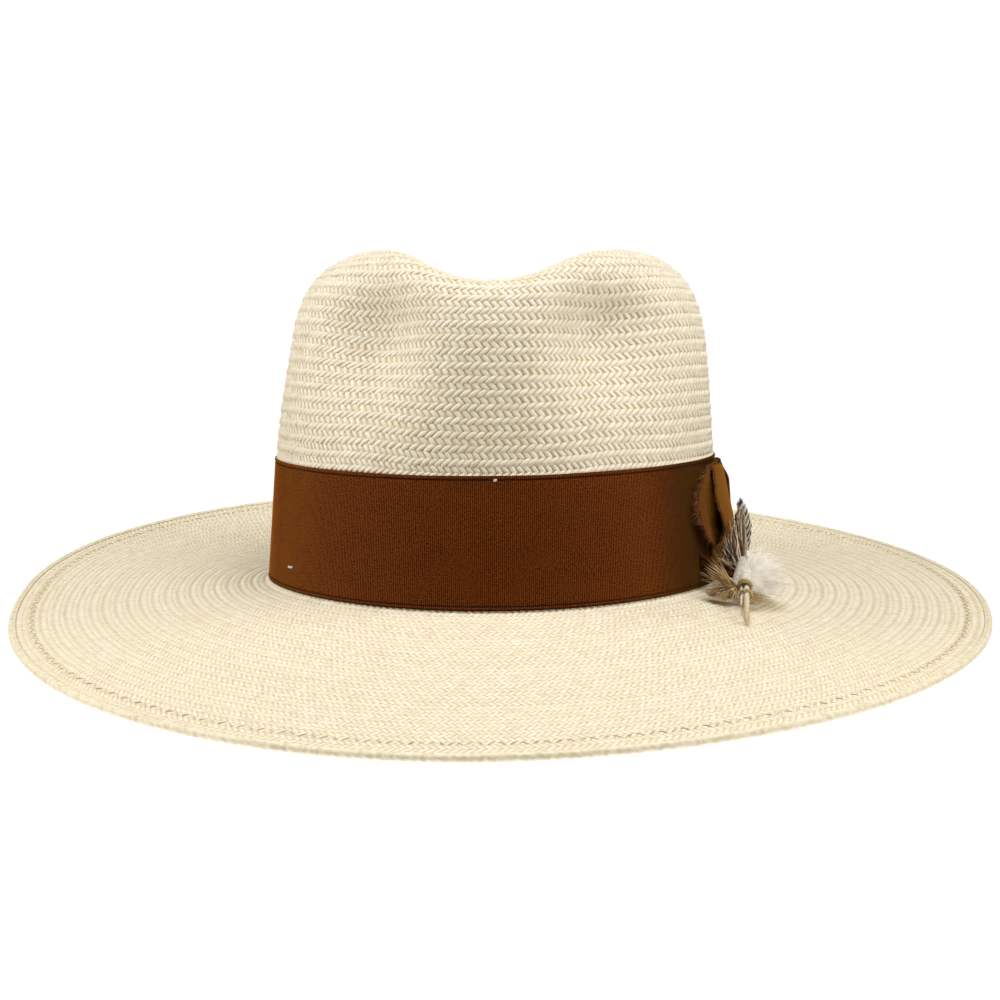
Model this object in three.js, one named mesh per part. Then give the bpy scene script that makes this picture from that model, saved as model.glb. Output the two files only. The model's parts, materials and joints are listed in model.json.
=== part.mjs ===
// Panama hat: a woven straw body with a teardrop crown and a wide snap brim, a grosgrain
// ribbon band with a raw-edged side bow, a pull-out feather spray and a leather sweatband.
// Millimetres, +Z up. The origin is the centre of the head opening, in the plane where the
// brim breaks from the crown. The wearer looks along -Y and the bow is on the wearer's left, +X.
import * as THREE from 'three';

// ---------------------------------------------------------------- driving dimensions
const DEG = Math.PI / 180;
const TURN_STEPS = 72;          // facets in one turn round the head
const FIT_GAP = 0.3;            // gap kept between pieces that touch

const HEAD_HALF_WIDTH = 89.3;   // outside of the crown at the brim break
const HEAD_HALF_LENGTH = 102.3;
const OVAL_POWER = 2.15;        // a head oval is a little squarer than an ellipse
const STRAW_THICKNESS = 1.4;

const CROWN_HEIGHT = 132.3;
const CROWN_TAPER = 0.089;
const CROWN_RIGHT_TAPER = 0.033; // the wearer's right side is drawn in a little above the ribbon
const CROWN_LEAN = 0.017;       // the top rises a little towards the wearer's left
const CROWN_RHO_POWER = 3.4;
const CROWN_Z_POWER = 10.3;
const CROWN_WALL_SHARE = 0.8;   // share of the height that is side wall
const CROWN_BACK_DROP = 0.03;

const CREASE_DEPTH = 32;        // teardrop bowl in the top of the crown
const CREASE_FRONT = -100;
const CREASE_FRONT_RUN = 70;
const CREASE_BACK = 88;
const CREASE_BACK_RUN = 60;
const CREASE_CENTRE = 3.3;
const CREASE_FRONT_HALF_WIDTH = 34.4;
const CREASE_WIDENING = 26.5;

const PINCH_DEPTH = 18;         // the two finger dents at the front
const PINCH_CENTRE = 3.5;       // the nose between them sits a little to the wearer's left
const PINCH_X = 47.5;
const PINCH_Z = 99;
const PINCH_REACH_X = 21;
const PINCH_REACH_UP = 20;
const PINCH_REACH_DOWN = 28;
const PINCH_INWARD = new THREE.Vector2(-0.42, 0.91);

const BRIM_WIDTH = 106.5;
const BREAK_DIP = 4.5;          // the break line is lower at front and back
const HEM_WIDTH = 12.5;
const HEM_THICKNESS = 0.9;
const WIRE_DIAMETER = 1.1;

const BAND_BOTTOM = 1;
const BAND_WIDTH = 47.6;
const BAND_THICKNESS = 0.6;

const SWEAT_WIDTH = 36;
const SWEAT_THICKNESS = 1.0;
const SWEAT_BOTTOM = 3.4;
const REED_DIAMETER = 1.6;

const BOW_CLOTH = 0.7;          // thickness of a bow ribbon
const BOW_STAND_OFF = 0.8;

const SPRAY_START = new THREE.Vector3(99.4, -84.5, -8.9);   // tip of the long quill
const SPRAY_AXIS = new THREE.Vector3(0, 0.92, 0.392).normalize();

// ---------------------------------------------------------------- outlines shared by the pieces
const clamp = (t) => Math.min(1, Math.max(0, t));
const smooth = (t) => clamp(t) ** 2 * (3 - 2 * clamp(t));

// Point of the head oval, angle 0 at the front and growing towards +X.
function ovalPoint(angle, halfWidth, halfLength) {
  const c = Math.cos(angle);
  const s = Math.sin(angle);
  const k = (Math.abs(c) ** OVAL_POWER + Math.abs(s) ** OVAL_POWER) ** (-1 / OVAL_POWER);
  return new THREE.Vector2(halfWidth * k * s, -halfLength * k * c);
}

function ovalNormal(angle) {
  const step = 0.002;
  const ahead = ovalPoint(angle + step, HEAD_HALF_WIDTH, HEAD_HALF_LENGTH);
  const behind = ovalPoint(angle - step, HEAD_HALF_WIDTH, HEAD_HALF_LENGTH);
  const along = ahead.sub(behind).normalize();
  return new THREE.Vector2(along.y, -along.x);
}

const breakHeight = (angle) => -BREAK_DIP * Math.cos(angle) ** 2;

// Downward slope of the brim: steep at the front, level at the sides, turned up at the back.
function brimSlope(angle) {
  return DEG * (4.85 + 16.35 * Math.cos(angle) - 0.9 * Math.cos(2 * angle) + 0.5 * Math.cos(3 * angle)
    + 1.4 * Math.sin(angle) - 1.3 * Math.sin(2 * angle));
}

// Width of the brim at an angle, against BRIM_WIDTH.
const brimStretch = (angle) => 1 - 0.009 * Math.cos(angle) + 0.021 * Math.sin(angle);

// Point on the brim, `out` millimetres from the break and `up` above the straw's top face.
function brimPoint(angle, out, up = 0) {
  const slope = brimSlope(angle);
  const base = ovalPoint(angle, HEAD_HALF_WIDTH, HEAD_HALF_LENGTH);
  const far = out * brimStretch(angle);
  base.addScaledVector(ovalNormal(angle), far * Math.cos(slope) + up * Math.sin(slope));
  const z = breakHeight(angle) - far * Math.sin(slope) + up * Math.cos(slope);
  return new THREE.Vector3(base.x, base.y, z);
}

// Depth of the teardrop bowl at a place in the crown top.
function creaseDepth(x, y) {
  const along = smooth((y - CREASE_FRONT) / CREASE_FRONT_RUN) * smooth((CREASE_BACK - y) / CREASE_BACK_RUN);
  const halfWidth = CREASE_FRONT_HALF_WIDTH + CREASE_WIDENING * smooth((y + 80) / 80);
  const across = Math.max(0, 1 - ((x - CREASE_CENTRE) / halfWidth) ** 2) ** 2;
  return CREASE_DEPTH * along * across;
}

// Outer face of the crown: level 0 at the break, 1 at the centre of the top.
function crownPoint(angle, level) {
  const wallTop = 0.6;
  let height = CROWN_WALL_SHARE * level / wallTop;
  let rho = (1 - height ** CROWN_Z_POWER) ** (1 / CROWN_RHO_POWER);
  if (level > wallTop) {
    const wallRho = (1 - CROWN_WALL_SHARE ** CROWN_Z_POWER) ** (1 / CROWN_RHO_POWER);
    rho = wallRho * (1 - ((level - wallTop) / (1 - wallTop)) ** 1.6);
    height = (1 - rho ** CROWN_RHO_POWER) ** (1 / CROWN_Z_POWER);
  }
  rho *= 1 - CROWN_TAPER * height;
  const drawnIn = 1 - CROWN_RIGHT_TAPER * smooth((height - 0.4) / 0.35) * Math.max(0, -Math.sin(angle));
  const plan = ovalPoint(angle, HEAD_HALF_WIDTH * rho * drawnIn, HEAD_HALF_LENGTH * rho);
  let z = CROWN_HEIGHT * height * (1 - CROWN_BACK_DROP * height * plan.y / HEAD_HALF_LENGTH);
  z += breakHeight(angle) * (1 - height) + CROWN_LEAN * plan.x * height;
  const side = plan.x < PINCH_CENTRE ? -1 : 1;
  const across = (Math.abs(plan.x - PINCH_CENTRE) - PINCH_X) / PINCH_REACH_X;
  const above = (z - PINCH_Z) / (z > PINCH_Z ? PINCH_REACH_UP : PINCH_REACH_DOWN);
  const pinch = PINCH_DEPTH * Math.exp(-(across ** 2) - above ** 2) * smooth((-plan.y - 5) / 50);
  z -= creaseDepth(plan.x, plan.y);
  return new THREE.Vector3(plan.x + side * pinch * PINCH_INWARD.x, plan.y + pinch * PINCH_INWARD.y, z);
}

// Crown face at a height inside the side wall, moved `out` along the oval's normal.
function wallPoint(angle, height, out) {
  const level = 0.6 * height / (CROWN_WALL_SHARE * CROWN_HEIGHT);
  const point = crownPoint(angle, level);
  const normal = ovalNormal(angle);
  point.x += normal.x * out;
  point.y += normal.y * out;
  return point;
}

// ---------------------------------------------------------------- mesh builders
function closedMesh(points, triangles) {
  const geometry = new THREE.BufferGeometry();
  geometry.setAttribute('position', new THREE.Float32BufferAttribute(points.flatMap((p) => p.toArray()), 3));
  geometry.setIndex(triangles);
  geometry.computeVertexNormals();
  return geometry;
}

// A ring: sectionAt(angle) gives the same number of points at every angle, a closed loop that
// runs anticlockwise when seen with the outside to the right and up at the top.
function ringSolid(sectionAt, steps = TURN_STEPS) {
  const points = [];
  const triangles = [];
  for (let i = 0; i < steps; i += 1) {
    points.push(...sectionAt(2 * Math.PI * i / steps));
  }
  const count = points.length / steps;
  for (let i = 0; i < steps; i += 1) {
    const next = (i + 1) % steps;
    for (let j = 0; j < count; j += 1) {
      const k = (j + 1) % count;
      const quad = [i * count + j, next * count + j, next * count + k, i * count + k];
      triangles.push(quad[0], quad[1], quad[2], quad[0], quad[2], quad[3]);
    }
  }
  return closedMesh(points, triangles);
}

// A slab that follows a curved sheet: pointAt(u, v) with u and v from 0 to 1.
function sheetSolid(pointAt, uSteps, vSteps, thickness) {
  const points = [];
  const triangles = [];
  const step = 0.01;
  const index = (side, i, j) => side * (uSteps + 1) * (vSteps + 1) + i * (vSteps + 1) + j;
  for (const side of [-0.5, 0.5]) {
    for (let i = 0; i <= uSteps; i += 1) {
      for (let j = 0; j <= vSteps; j += 1) {
        const u = i / uSteps;
        const v = j / vSteps;
        const du = pointAt(u + step, v).sub(pointAt(u - step, v));
        const dv = pointAt(u, v + step).sub(pointAt(u, v - step));
        const normal = du.cross(dv).normalize();
        points.push(pointAt(u, v).addScaledVector(normal, side * thickness));
      }
    }
  }
  const quad = (a, b, c, d) => triangles.push(a, b, c, a, c, d);
  for (let i = 0; i < uSteps; i += 1) {
    for (let j = 0; j < vSteps; j += 1) {
      quad(index(1, i, j), index(1, i + 1, j), index(1, i + 1, j + 1), index(1, i, j + 1));
      quad(index(0, i, j), index(0, i, j + 1), index(0, i + 1, j + 1), index(0, i + 1, j));
    }
    quad(index(0, i, 0), index(0, i + 1, 0), index(1, i + 1, 0), index(1, i, 0));
    quad(index(1, i, vSteps), index(1, i + 1, vSteps), index(0, i + 1, vSteps), index(0, i, vSteps));
  }
  for (let j = 0; j < vSteps; j += 1) {
    quad(index(1, 0, j), index(1, 0, j + 1), index(0, 0, j + 1), index(0, 0, j));
    quad(index(0, uSteps, j), index(0, uSteps, j + 1), index(1, uSteps, j + 1), index(1, uSteps, j));
  }
  return closedMesh(points, triangles);
}

// A rod along a straight axis, with a radius at each station from one end to the other.
function rodSolid(start, axis, stations, sides = 10) {
  const profile = stations.map(([along, radius]) => new THREE.Vector2(radius, along));
  const geometry = new THREE.LatheGeometry(profile, sides);
  const turn = new THREE.Quaternion().setFromUnitVectors(new THREE.Vector3(0, 1, 0), axis);
  geometry.applyQuaternion(turn);
  geometry.translate(start.x, start.y, start.z);
  return geometry;
}

// Round section of a ring about a centre, in the vertical plane through `normal`.
function roundSection(centre, normal, radius, sides) {
  const section = [];
  for (let k = 0; k < sides; k += 1) {
    const turn = 2 * Math.PI * k / sides;
    const out = radius * Math.cos(turn);
    section.push(new THREE.Vector3(centre.x + normal.x * out, centre.y + normal.y * out,
      centre.z + radius * Math.sin(turn)));
  }
  return section;
}

const group = new THREE.Group();

function addPart(name, geometry, { color, roughness, metalness = 0 }, parent = group) {
  const mesh = new THREE.Mesh(geometry, new THREE.MeshStandardMaterial({ color, roughness, metalness }));
  mesh.name = name;
  parent.add(mesh);
  return mesh;
}

const STRAW = { color: 0xe6dbbd, roughness: 0.62 };
const RIBBON = { color: 0x6b3a12, roughness: 0.78 };
const LEAF = { color: 0x8a5a24, roughness: 0.8 };
const LEATHER = { color: 0xb98a5e, roughness: 0.55 };
const CLOTH_TAPE = { color: 0xd9cdb4, roughness: 0.85 };
const THREAD = { color: 0xd8c89c, roughness: 0.7 };
const WIRE = { color: 0x9a9a98, roughness: 0.35, metalness: 1 };
const REED = { color: 0xdedbd2, roughness: 0.4 };
const FEATHER = { color: 0x8c7657, roughness: 0.7 };
const DOWN = { color: 0xd9d3cb, roughness: 0.9 };
const QUILL = { color: 0xb79b6a, roughness: 0.45 };

// ---------------------------------------------------------------- straw body
// One woven shell: up the inside of the crown, out under the brim, back over the top of it.
const CROWN_LEVELS = [];
for (let level = 0; level < 0.6; level += 0.075) {
  CROWN_LEVELS.push(level);
}
CROWN_LEVELS.push(0.6, 0.64, 0.68, 0.72, 0.76, 0.8, 0.85, 0.9, 0.95);
const SHEET_EDGE = BRIM_WIDTH - 2.35;
const BRIM_STATIONS = [0.25, 0.5, 0.75, 1].map((share) => share * SHEET_EDGE);

function crownInside(angle, level) {
  const step = 0.004;
  const around = crownPoint(angle + step, level).sub(crownPoint(angle - step, level));
  const up = crownPoint(angle, level + step).sub(crownPoint(angle, Math.max(0, level - step)));
  const normal = around.cross(up).normalize();
  return crownPoint(angle, level).addScaledVector(normal, -STRAW_THICKNESS);
}

function strawSection(angle) {
  const levels = CROWN_LEVELS.slice(1);
  const corner = crownPoint(angle, 0);
  const normal = ovalNormal(angle).multiplyScalar(STRAW_THICKNESS);
  corner.sub(new THREE.Vector3(normal.x, normal.y, STRAW_THICKNESS));
  const inside = levels.map((level) => crownInside(angle, level)).reverse();
  const under = BRIM_STATIONS.map((out) => brimPoint(angle, out, -STRAW_THICKNESS));
  const over = BRIM_STATIONS.map((out) => brimPoint(angle, out)).reverse();
  const outside = CROWN_LEVELS.map((level) => crownPoint(angle, level));
  return [...inside, corner, ...under, ...over, ...outside];
}

function strawBody() {
  const ring = ringSolid(strawSection);
  const count = strawSection(0).length;
  const position = ring.getAttribute('position');
  const points = [];
  for (let i = 0; i < position.count; i += 1) {
    points.push(new THREE.Vector3().fromBufferAttribute(position, i));
  }
  const top = crownPoint(0, 1);
  const innerPole = points.push(top.clone().setZ(top.z - STRAW_THICKNESS)) - 1;
  const outerPole = points.push(top) - 1;
  const triangles = [];
  for (let i = 0; i < TURN_STEPS; i += 1) {
    const here = i * count;
    const next = ((i + 1) % TURN_STEPS) * count;
    for (let j = 0; j < count - 1; j += 1) {
      triangles.push(here + j, next + j, next + j + 1, here + j, next + j + 1, here + j + 1);
    }
    triangles.push(here, innerPole, next);
    triangles.push(here + count - 1, next + count - 1, outerPole);
  }
  return closedMesh(points, triangles);
}

addPart('straw_body', strawBody(), STRAW);

// ---------------------------------------------------------------- brim edge
// The sheet's edge is turned under round a spring wire and sewn down with a zigzag.
function hemSection(angle) {
  const edge = BRIM_WIDTH;
  const wall = 0.65;
  const lip = 0.15;
  const under = -STRAW_THICKNESS - FIT_GAP;
  const outline = [
    [edge - HEM_WIDTH, under - HEM_THICKNESS], [edge - 0.6, under - HEM_THICKNESS],
    [edge, under - 0.2], [edge, -0.1], [edge - 0.6, lip + 0.35], [edge - 2.2, lip + 0.35],
    [edge - 2.2, lip], [edge - 0.9, lip], [edge - wall, -0.1], [edge - wall, under],
    [edge - HEM_WIDTH, under],
  ];
  return outline.map(([out, up]) => brimPoint(angle, out, up));
}

function brimRing(out, up, radius, sides) {
  return (angle) => {
    const normal = ovalNormal(angle);
    return roundSection(brimPoint(angle, out(angle), up), normal, radius, sides);
  };
}

const STITCH_STEPS = 120;
const STITCH_RADIUS = 0.25;
const STITCH_INSET = 9.3;       // from the brim's edge to the row of stitches
const zigzag = (angle) => {
  const turn = Math.round(angle * STITCH_STEPS / (2 * Math.PI));
  return BRIM_WIDTH - STITCH_INSET + (turn % 2 ? 1 : -1);
};

addPart('brim_hem', ringSolid(hemSection), STRAW);
addPart('brim_wire', ringSolid(brimRing(() => BRIM_WIDTH - 1.5, -0.7, WIRE_DIAMETER / 2, 6)), WIRE);
addPart('brim_stitching',
  ringSolid(brimRing(zigzag, FIT_GAP + STITCH_RADIUS, STITCH_RADIUS, 4), STITCH_STEPS), THREAD);

// ---------------------------------------------------------------- ribbon band
// Section of a strip that stands on the crown's side wall, from one height to another.
function wallStrip(bottom, width, inner, thickness, divisions) {
  return (angle) => {
    const heights = [];
    for (let k = 0; k <= divisions; k += 1) {
      heights.push(bottom + width * k / divisions);
    }
    const outside = heights.map((height) => wallPoint(angle, height, inner + thickness));
    const inside = heights.map((height) => wallPoint(angle, height, inner)).reverse();
    return [...outside, ...inside];
  };
}

const BAND_FACE = FIT_GAP + BAND_THICKNESS;
addPart('hat_band', ringSolid(wallStrip(BAND_BOTTOM, BAND_WIDTH, FIT_GAP, BAND_THICKNESS, 4)), RIBBON);

// Small thread tacks that hold the ribbon to the straw: angle in degrees and height.
const TACKS = [[-54, 9.9], [5, 47], [-150, 5.1], [150, 5.1]];
TACKS.forEach(([degrees, height], i) => {
  const angle = degrees * DEG;
  const centre = wallPoint(angle, height, BAND_FACE + FIT_GAP + 0.3);
  const along = new THREE.Vector3(-ovalNormal(angle).y, ovalNormal(angle).x, 0);
  const start = centre.clone().addScaledVector(along, -1);
  const stations = [[0, 0], [0.2, 0.3], [1.8, 0.3], [2, 0]];
  addPart(`band_tack_${i + 1}`, rodSolid(start, along, stations, 6), THREAD);
});

// ---------------------------------------------------------------- side bow
const BOW_CENTRE = 98 * DEG;    // where the knot crosses, just behind the wearer's left side

// A bow ribbon on the band: `from` and `to` are angles, the rest are functions of u and v.
function bowSheet(from, to, low, high, out, uSteps, vSteps, thickness = BOW_CLOTH) {
  const pointAt = (u, v) => {
    const bottom = low(u);
    const height = bottom + (high(u) - bottom) * v;
    const angle = from + (to(v) - from) * u;
    return wallPoint(angle, height, out(u, v));
  };
  return sheetSolid(pointAt, uSteps, vSteps, thickness);
}

const backingOut = BAND_FACE + FIT_GAP + BOW_CLOTH / 2;
const innerLeafOut = backingOut + BOW_CLOTH + FIT_GAP + 0.1;
const outerLeafOut = innerLeafOut + BOW_CLOTH + 0.4;

const backing = bowSheet(72 * DEG, () => 122 * DEG, () => 4, () => 46, () => backingOut, 10, 3);
addPart('bow_backing', backing, RIBBON);

const innerLeaf = bowSheet(
  BOW_CENTRE - 0.6 * DEG,
  (v) => (67 - 6.5 * Math.sin(Math.PI * v)) * DEG,
  (u) => 15 - 4 * Math.sin(Math.PI * u) + 1 * u,
  (u) => 37 + 8.8 * smooth(1.6 * u),
  (u, v) => innerLeafOut + BOW_STAND_OFF * smooth(2 * u - 1) * (1.4 - v),
  10, 5,
);
addPart('bow_inner_leaf', innerLeaf, LEAF);

// The outer leaf stands off most a third of the way up.
const leafBulge = (v) => Math.max(0, Math.sin(Math.PI * clamp(v) ** 0.63)) ** 1.1;

const outerLeaf = bowSheet(
  BOW_CENTRE - 0.6 * DEG,
  (v) => (70.5 + 3.7 * Math.cos(2 * Math.PI * v)) * DEG,
  (u) => 15 - 3 * Math.sin(Math.PI * u) + 1 * u,
  (u) => 37 + 9.2 * smooth(1.6 * u),
  (u, v) => outerLeafOut + 2.5 * (1 + u) * smooth(1.8 * u) * leafBulge(v),
  10, 6,
);
addPart('bow_outer_leaf', outerLeaf, LEAF);

const rearTail = bowSheet(
  BOW_CENTRE + 0.6 * DEG,
  (v) => (124 + 4 * v) * DEG,
  (u) => 14 - 5 * smooth(1.5 * u),
  (u) => 38 + 6 * smooth(1.5 * u),
  (u, v) => innerLeafOut + 1.6 * smooth(1.5 * u) * Math.sin(Math.PI * v),
  9, 4,
);
addPart('bow_rear_tail', rearTail, LEAF);

const knotOut = (u, v) => innerLeafOut + 0.2 + 2.8 * smooth(5 * Math.min(v, 1 - v));
const knot = bowSheet(BOW_CENTRE - 5 * DEG, () => BOW_CENTRE + 5 * DEG, () => 4.5, () => 46, knotOut, 4, 12, 0.9);
addPart('bow_knot', knot, RIBBON);

// ---------------------------------------------------------------- keeper of the feather spray
const KEEPER_FROM = 28;
const KEEPER_TO = 46;
const KEEPER_BORE = 2.2;
const KEEPER_RADIUS = 3;
const alongSpray = (along) => SPRAY_START.clone().addScaledVector(SPRAY_AXIS, along);

const keeperLength = KEEPER_TO - KEEPER_FROM;
const keeper = rodSolid(alongSpray(KEEPER_FROM), SPRAY_AXIS, [
  [0, KEEPER_BORE], [0, KEEPER_RADIUS - 0.5], [2, KEEPER_RADIUS], [keeperLength - 2, KEEPER_RADIUS],
  [keeperLength, KEEPER_RADIUS - 0.4], [keeperLength, KEEPER_BORE], [0, KEEPER_BORE],
], 12);
addPart('quill_keeper', keeper, DOWN);

// The tab that ties the keeper to the bow: it leaves the band and ends against the keeper.
const tabMiddle = alongSpray((KEEPER_FROM + KEEPER_TO) / 2);
function tabPoint(u, v) {
  const root = wallPoint(64 * DEG, 7 + 7 * v, BAND_FACE + FIT_GAP + 0.1);
  const end = tabMiddle.clone().addScaledVector(SPRAY_AXIS, 5 * (v - 0.5));
  end.x -= KEEPER_RADIUS + FIT_GAP + 0.1;
  return root.lerp(end, u);
}
addPart('keeper_tab', sheetSolid(tabPoint, 4, 2, 0.8), RIBBON);

// A soft tuft: an ellipsoid with a rippled skin.
function tuft(centre, radii, ripple, lobes, columns = 16, rows = 9) {
  const geometry = new THREE.SphereGeometry(1, columns, rows);
  const position = geometry.getAttribute('position');
  for (let i = 0; i < position.count; i += 1) {
    const point = new THREE.Vector3().fromBufferAttribute(position, i);
    const turn = Math.atan2(point.y, point.x);
    const swell = 1 + ripple * Math.cos(lobes * turn) * Math.sqrt(Math.max(0, 1 - point.z ** 2));
    point.multiplyScalar(swell).multiply(radii).add(centre);
    position.setXYZ(i, point.x, point.y, point.z);
  }
  return geometry;
}

const tuftCentre = brimPoint(60.5 * DEG, 12, 3.1);
addPart('golden_tuft', tuft(tuftCentre, new THREE.Vector3(5.5, 4.5, 2.4), 0.12, 5), QUILL);

// ---------------------------------------------------------------- feather spray
const spray = new THREE.Group();
group.add(spray);
const STOP_GAP = KEEPER_TO + FIT_GAP;
const KNOT_END = 54;

function quill(offset, from, radius) {
  const start = alongSpray(from);
  start.x += offset;
  const length = STOP_GAP + 0.6 - from;
  return rodSolid(start, SPRAY_AXIS, [[0, 0], [0.6, 0.6 * radius], [3, radius], [length, radius], [length, 0]]);
}

addPart('quill_long', quill(0.75, 0, 1.15), QUILL, spray);
addPart('quill_short', quill(-1.25, 13, 0.55), QUILL, spray);

const plumeKnot = rodSolid(alongSpray(STOP_GAP + 0.9), SPRAY_AXIS,
  [[0, 0], [0, 2.5], [2, 2.9], [KNOT_END - STOP_GAP - 2.5, 2.4], [KNOT_END - STOP_GAP - 0.9, 0]], 12);
addPart('plume_knot', plumeKnot, DOWN, spray);

// A feather vane: a thin pointed blade beside the spray's axis, its upper edge leaning outwards.
const VANE_LEAN = 22 * DEG;

function vane(offset, from, to, halfWidth, curl, thickness, rise) {
  const across = new THREE.Vector3(1, 0, 0).cross(SPRAY_AXIS).applyAxisAngle(SPRAY_AXIS, VANE_LEAN);
  const uphill = new THREE.Vector3(1, 0, 0).cross(SPRAY_AXIS);
  const pointAt = (u, v) => {
    const point = alongSpray(from + (to - from) * u);
    const width = halfWidth * (0.3 + 0.7 * smooth(3 * u)) * Math.sqrt(Math.max(0.05, 1 - u ** 3));
    point.addScaledVector(across, width * (2 * v - 1));
    point.addScaledVector(uphill, rise * u * u);
    point.x += offset + curl * u * u;
    return point;
  };
  return sheetSolid(pointAt, 8, 2, thickness);
}

addPart('barred_feather', vane(1.2, KNOT_END + 0.5, 88, 6.5, -2.2, 1.1, 9), FEATHER, spray);
addPart('hackle_feather', vane(-1, KNOT_END + 0.5, 79, 5.4, -1.2, 1.1, 6), FEATHER, spray);

const fluffCentre = alongSpray(KEEPER_TO - 2).add(new THREE.Vector3(11, -1, -3.6));
addPart('marabou_fluff', tuft(fluffCentre, new THREE.Vector3(7.4, 12, 7), 0.06, 7, 18, 10), DOWN, spray);

// ---------------------------------------------------------------- sweatband
const SWEAT_OUTER = -STRAW_THICKNESS - FIT_GAP;
const SWEAT_INNER = SWEAT_OUTER - SWEAT_THICKNESS;
const sweatStrip = wallStrip(SWEAT_BOTTOM, SWEAT_WIDTH, SWEAT_INNER, SWEAT_THICKNESS, 3);
addPart('sweatband', ringSolid(sweatStrip), LEATHER);

const REED_OUT = -3.25;
const REED_HEIGHT = 1.1;
const TAPE_INNER = REED_DIAMETER / 2 + FIT_GAP;
const TAPE_THICKNESS = 0.35;
const reedSection = (angle) => roundSection(
  wallPoint(angle, REED_HEIGHT, REED_OUT), ovalNormal(angle), REED_DIAMETER / 2, 6,
);
addPart('sweatband_reed', ringSolid(reedSection), REED);

// The tape folds round the reed and is open at the top, where it is sewn to the sweatband.
function tapeSection(angle) {
  const centre = wallPoint(angle, REED_HEIGHT, REED_OUT);
  const normal = ovalNormal(angle);
  const arcPoint = (radius, turn) => {
    const out = radius * Math.cos(turn);
    return new THREE.Vector3(centre.x + normal.x * out, centre.y + normal.y * out,
      centre.z + radius * Math.sin(turn));
  };
  const turns = [125, 185, 240, 300, 355, 415].map((degrees) => degrees * DEG);
  const outer = turns.map((turn) => arcPoint(TAPE_INNER + TAPE_THICKNESS, turn));
  const inner = turns.map((turn) => arcPoint(TAPE_INNER, turn)).reverse();
  return [...outer, ...inner];
}
addPart('reed_tape', ringSolid(tapeSection), CLOTH_TAPE);

const seamSection = (angle) => roundSection(
  wallPoint(angle, SWEAT_BOTTOM + 1.6, SWEAT_INNER - FIT_GAP - 0.2), ovalNormal(angle), 0.2, 4,
);
addPart('sweatband_stitching', ringSolid(seamSection), THREAD);

// Small ribbon bow inside at the back, over the joint of the sweatband.
const REAR_BOW_HEIGHT = 17;
function rearSheet(fromX, toX, halfHeight, out, thickness, uSteps) {
  const pointAt = (u, v) => {
    const x = fromX + (toX - fromX) * u;
    const angle = Math.PI - x / HEAD_HALF_WIDTH;
    return wallPoint(angle, REAR_BOW_HEIGHT + halfHeight(u) * (2 * v - 1), SWEAT_INNER - out);
  };
  return sheetSolid(pointAt, uSteps, 2, thickness);
}
const loopHeight = (u) => 2 + 2.6 * smooth(1.4 * u) * (1 - 0.35 * u ** 4);
addPart('rear_bow_left_loop', rearSheet(0.8, 15, loopHeight, 0.9, 1, 6), RIBBON);
addPart('rear_bow_right_loop', rearSheet(-15, -0.8, (u) => loopHeight(1 - u), 0.9, 1, 6), RIBBON);
addPart('rear_bow_knot', rearSheet(-2.4, 2.4, () => 2.8, 2.1, 0.8, 2), RIBBON);

export default group;
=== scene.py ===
"""Looks of the panama hat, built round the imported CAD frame. Shapes are worked out in millimetres,
with the same driving dimensions as the CAD part, and turned into metres when a mesh is made."""

import json
import math

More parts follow.
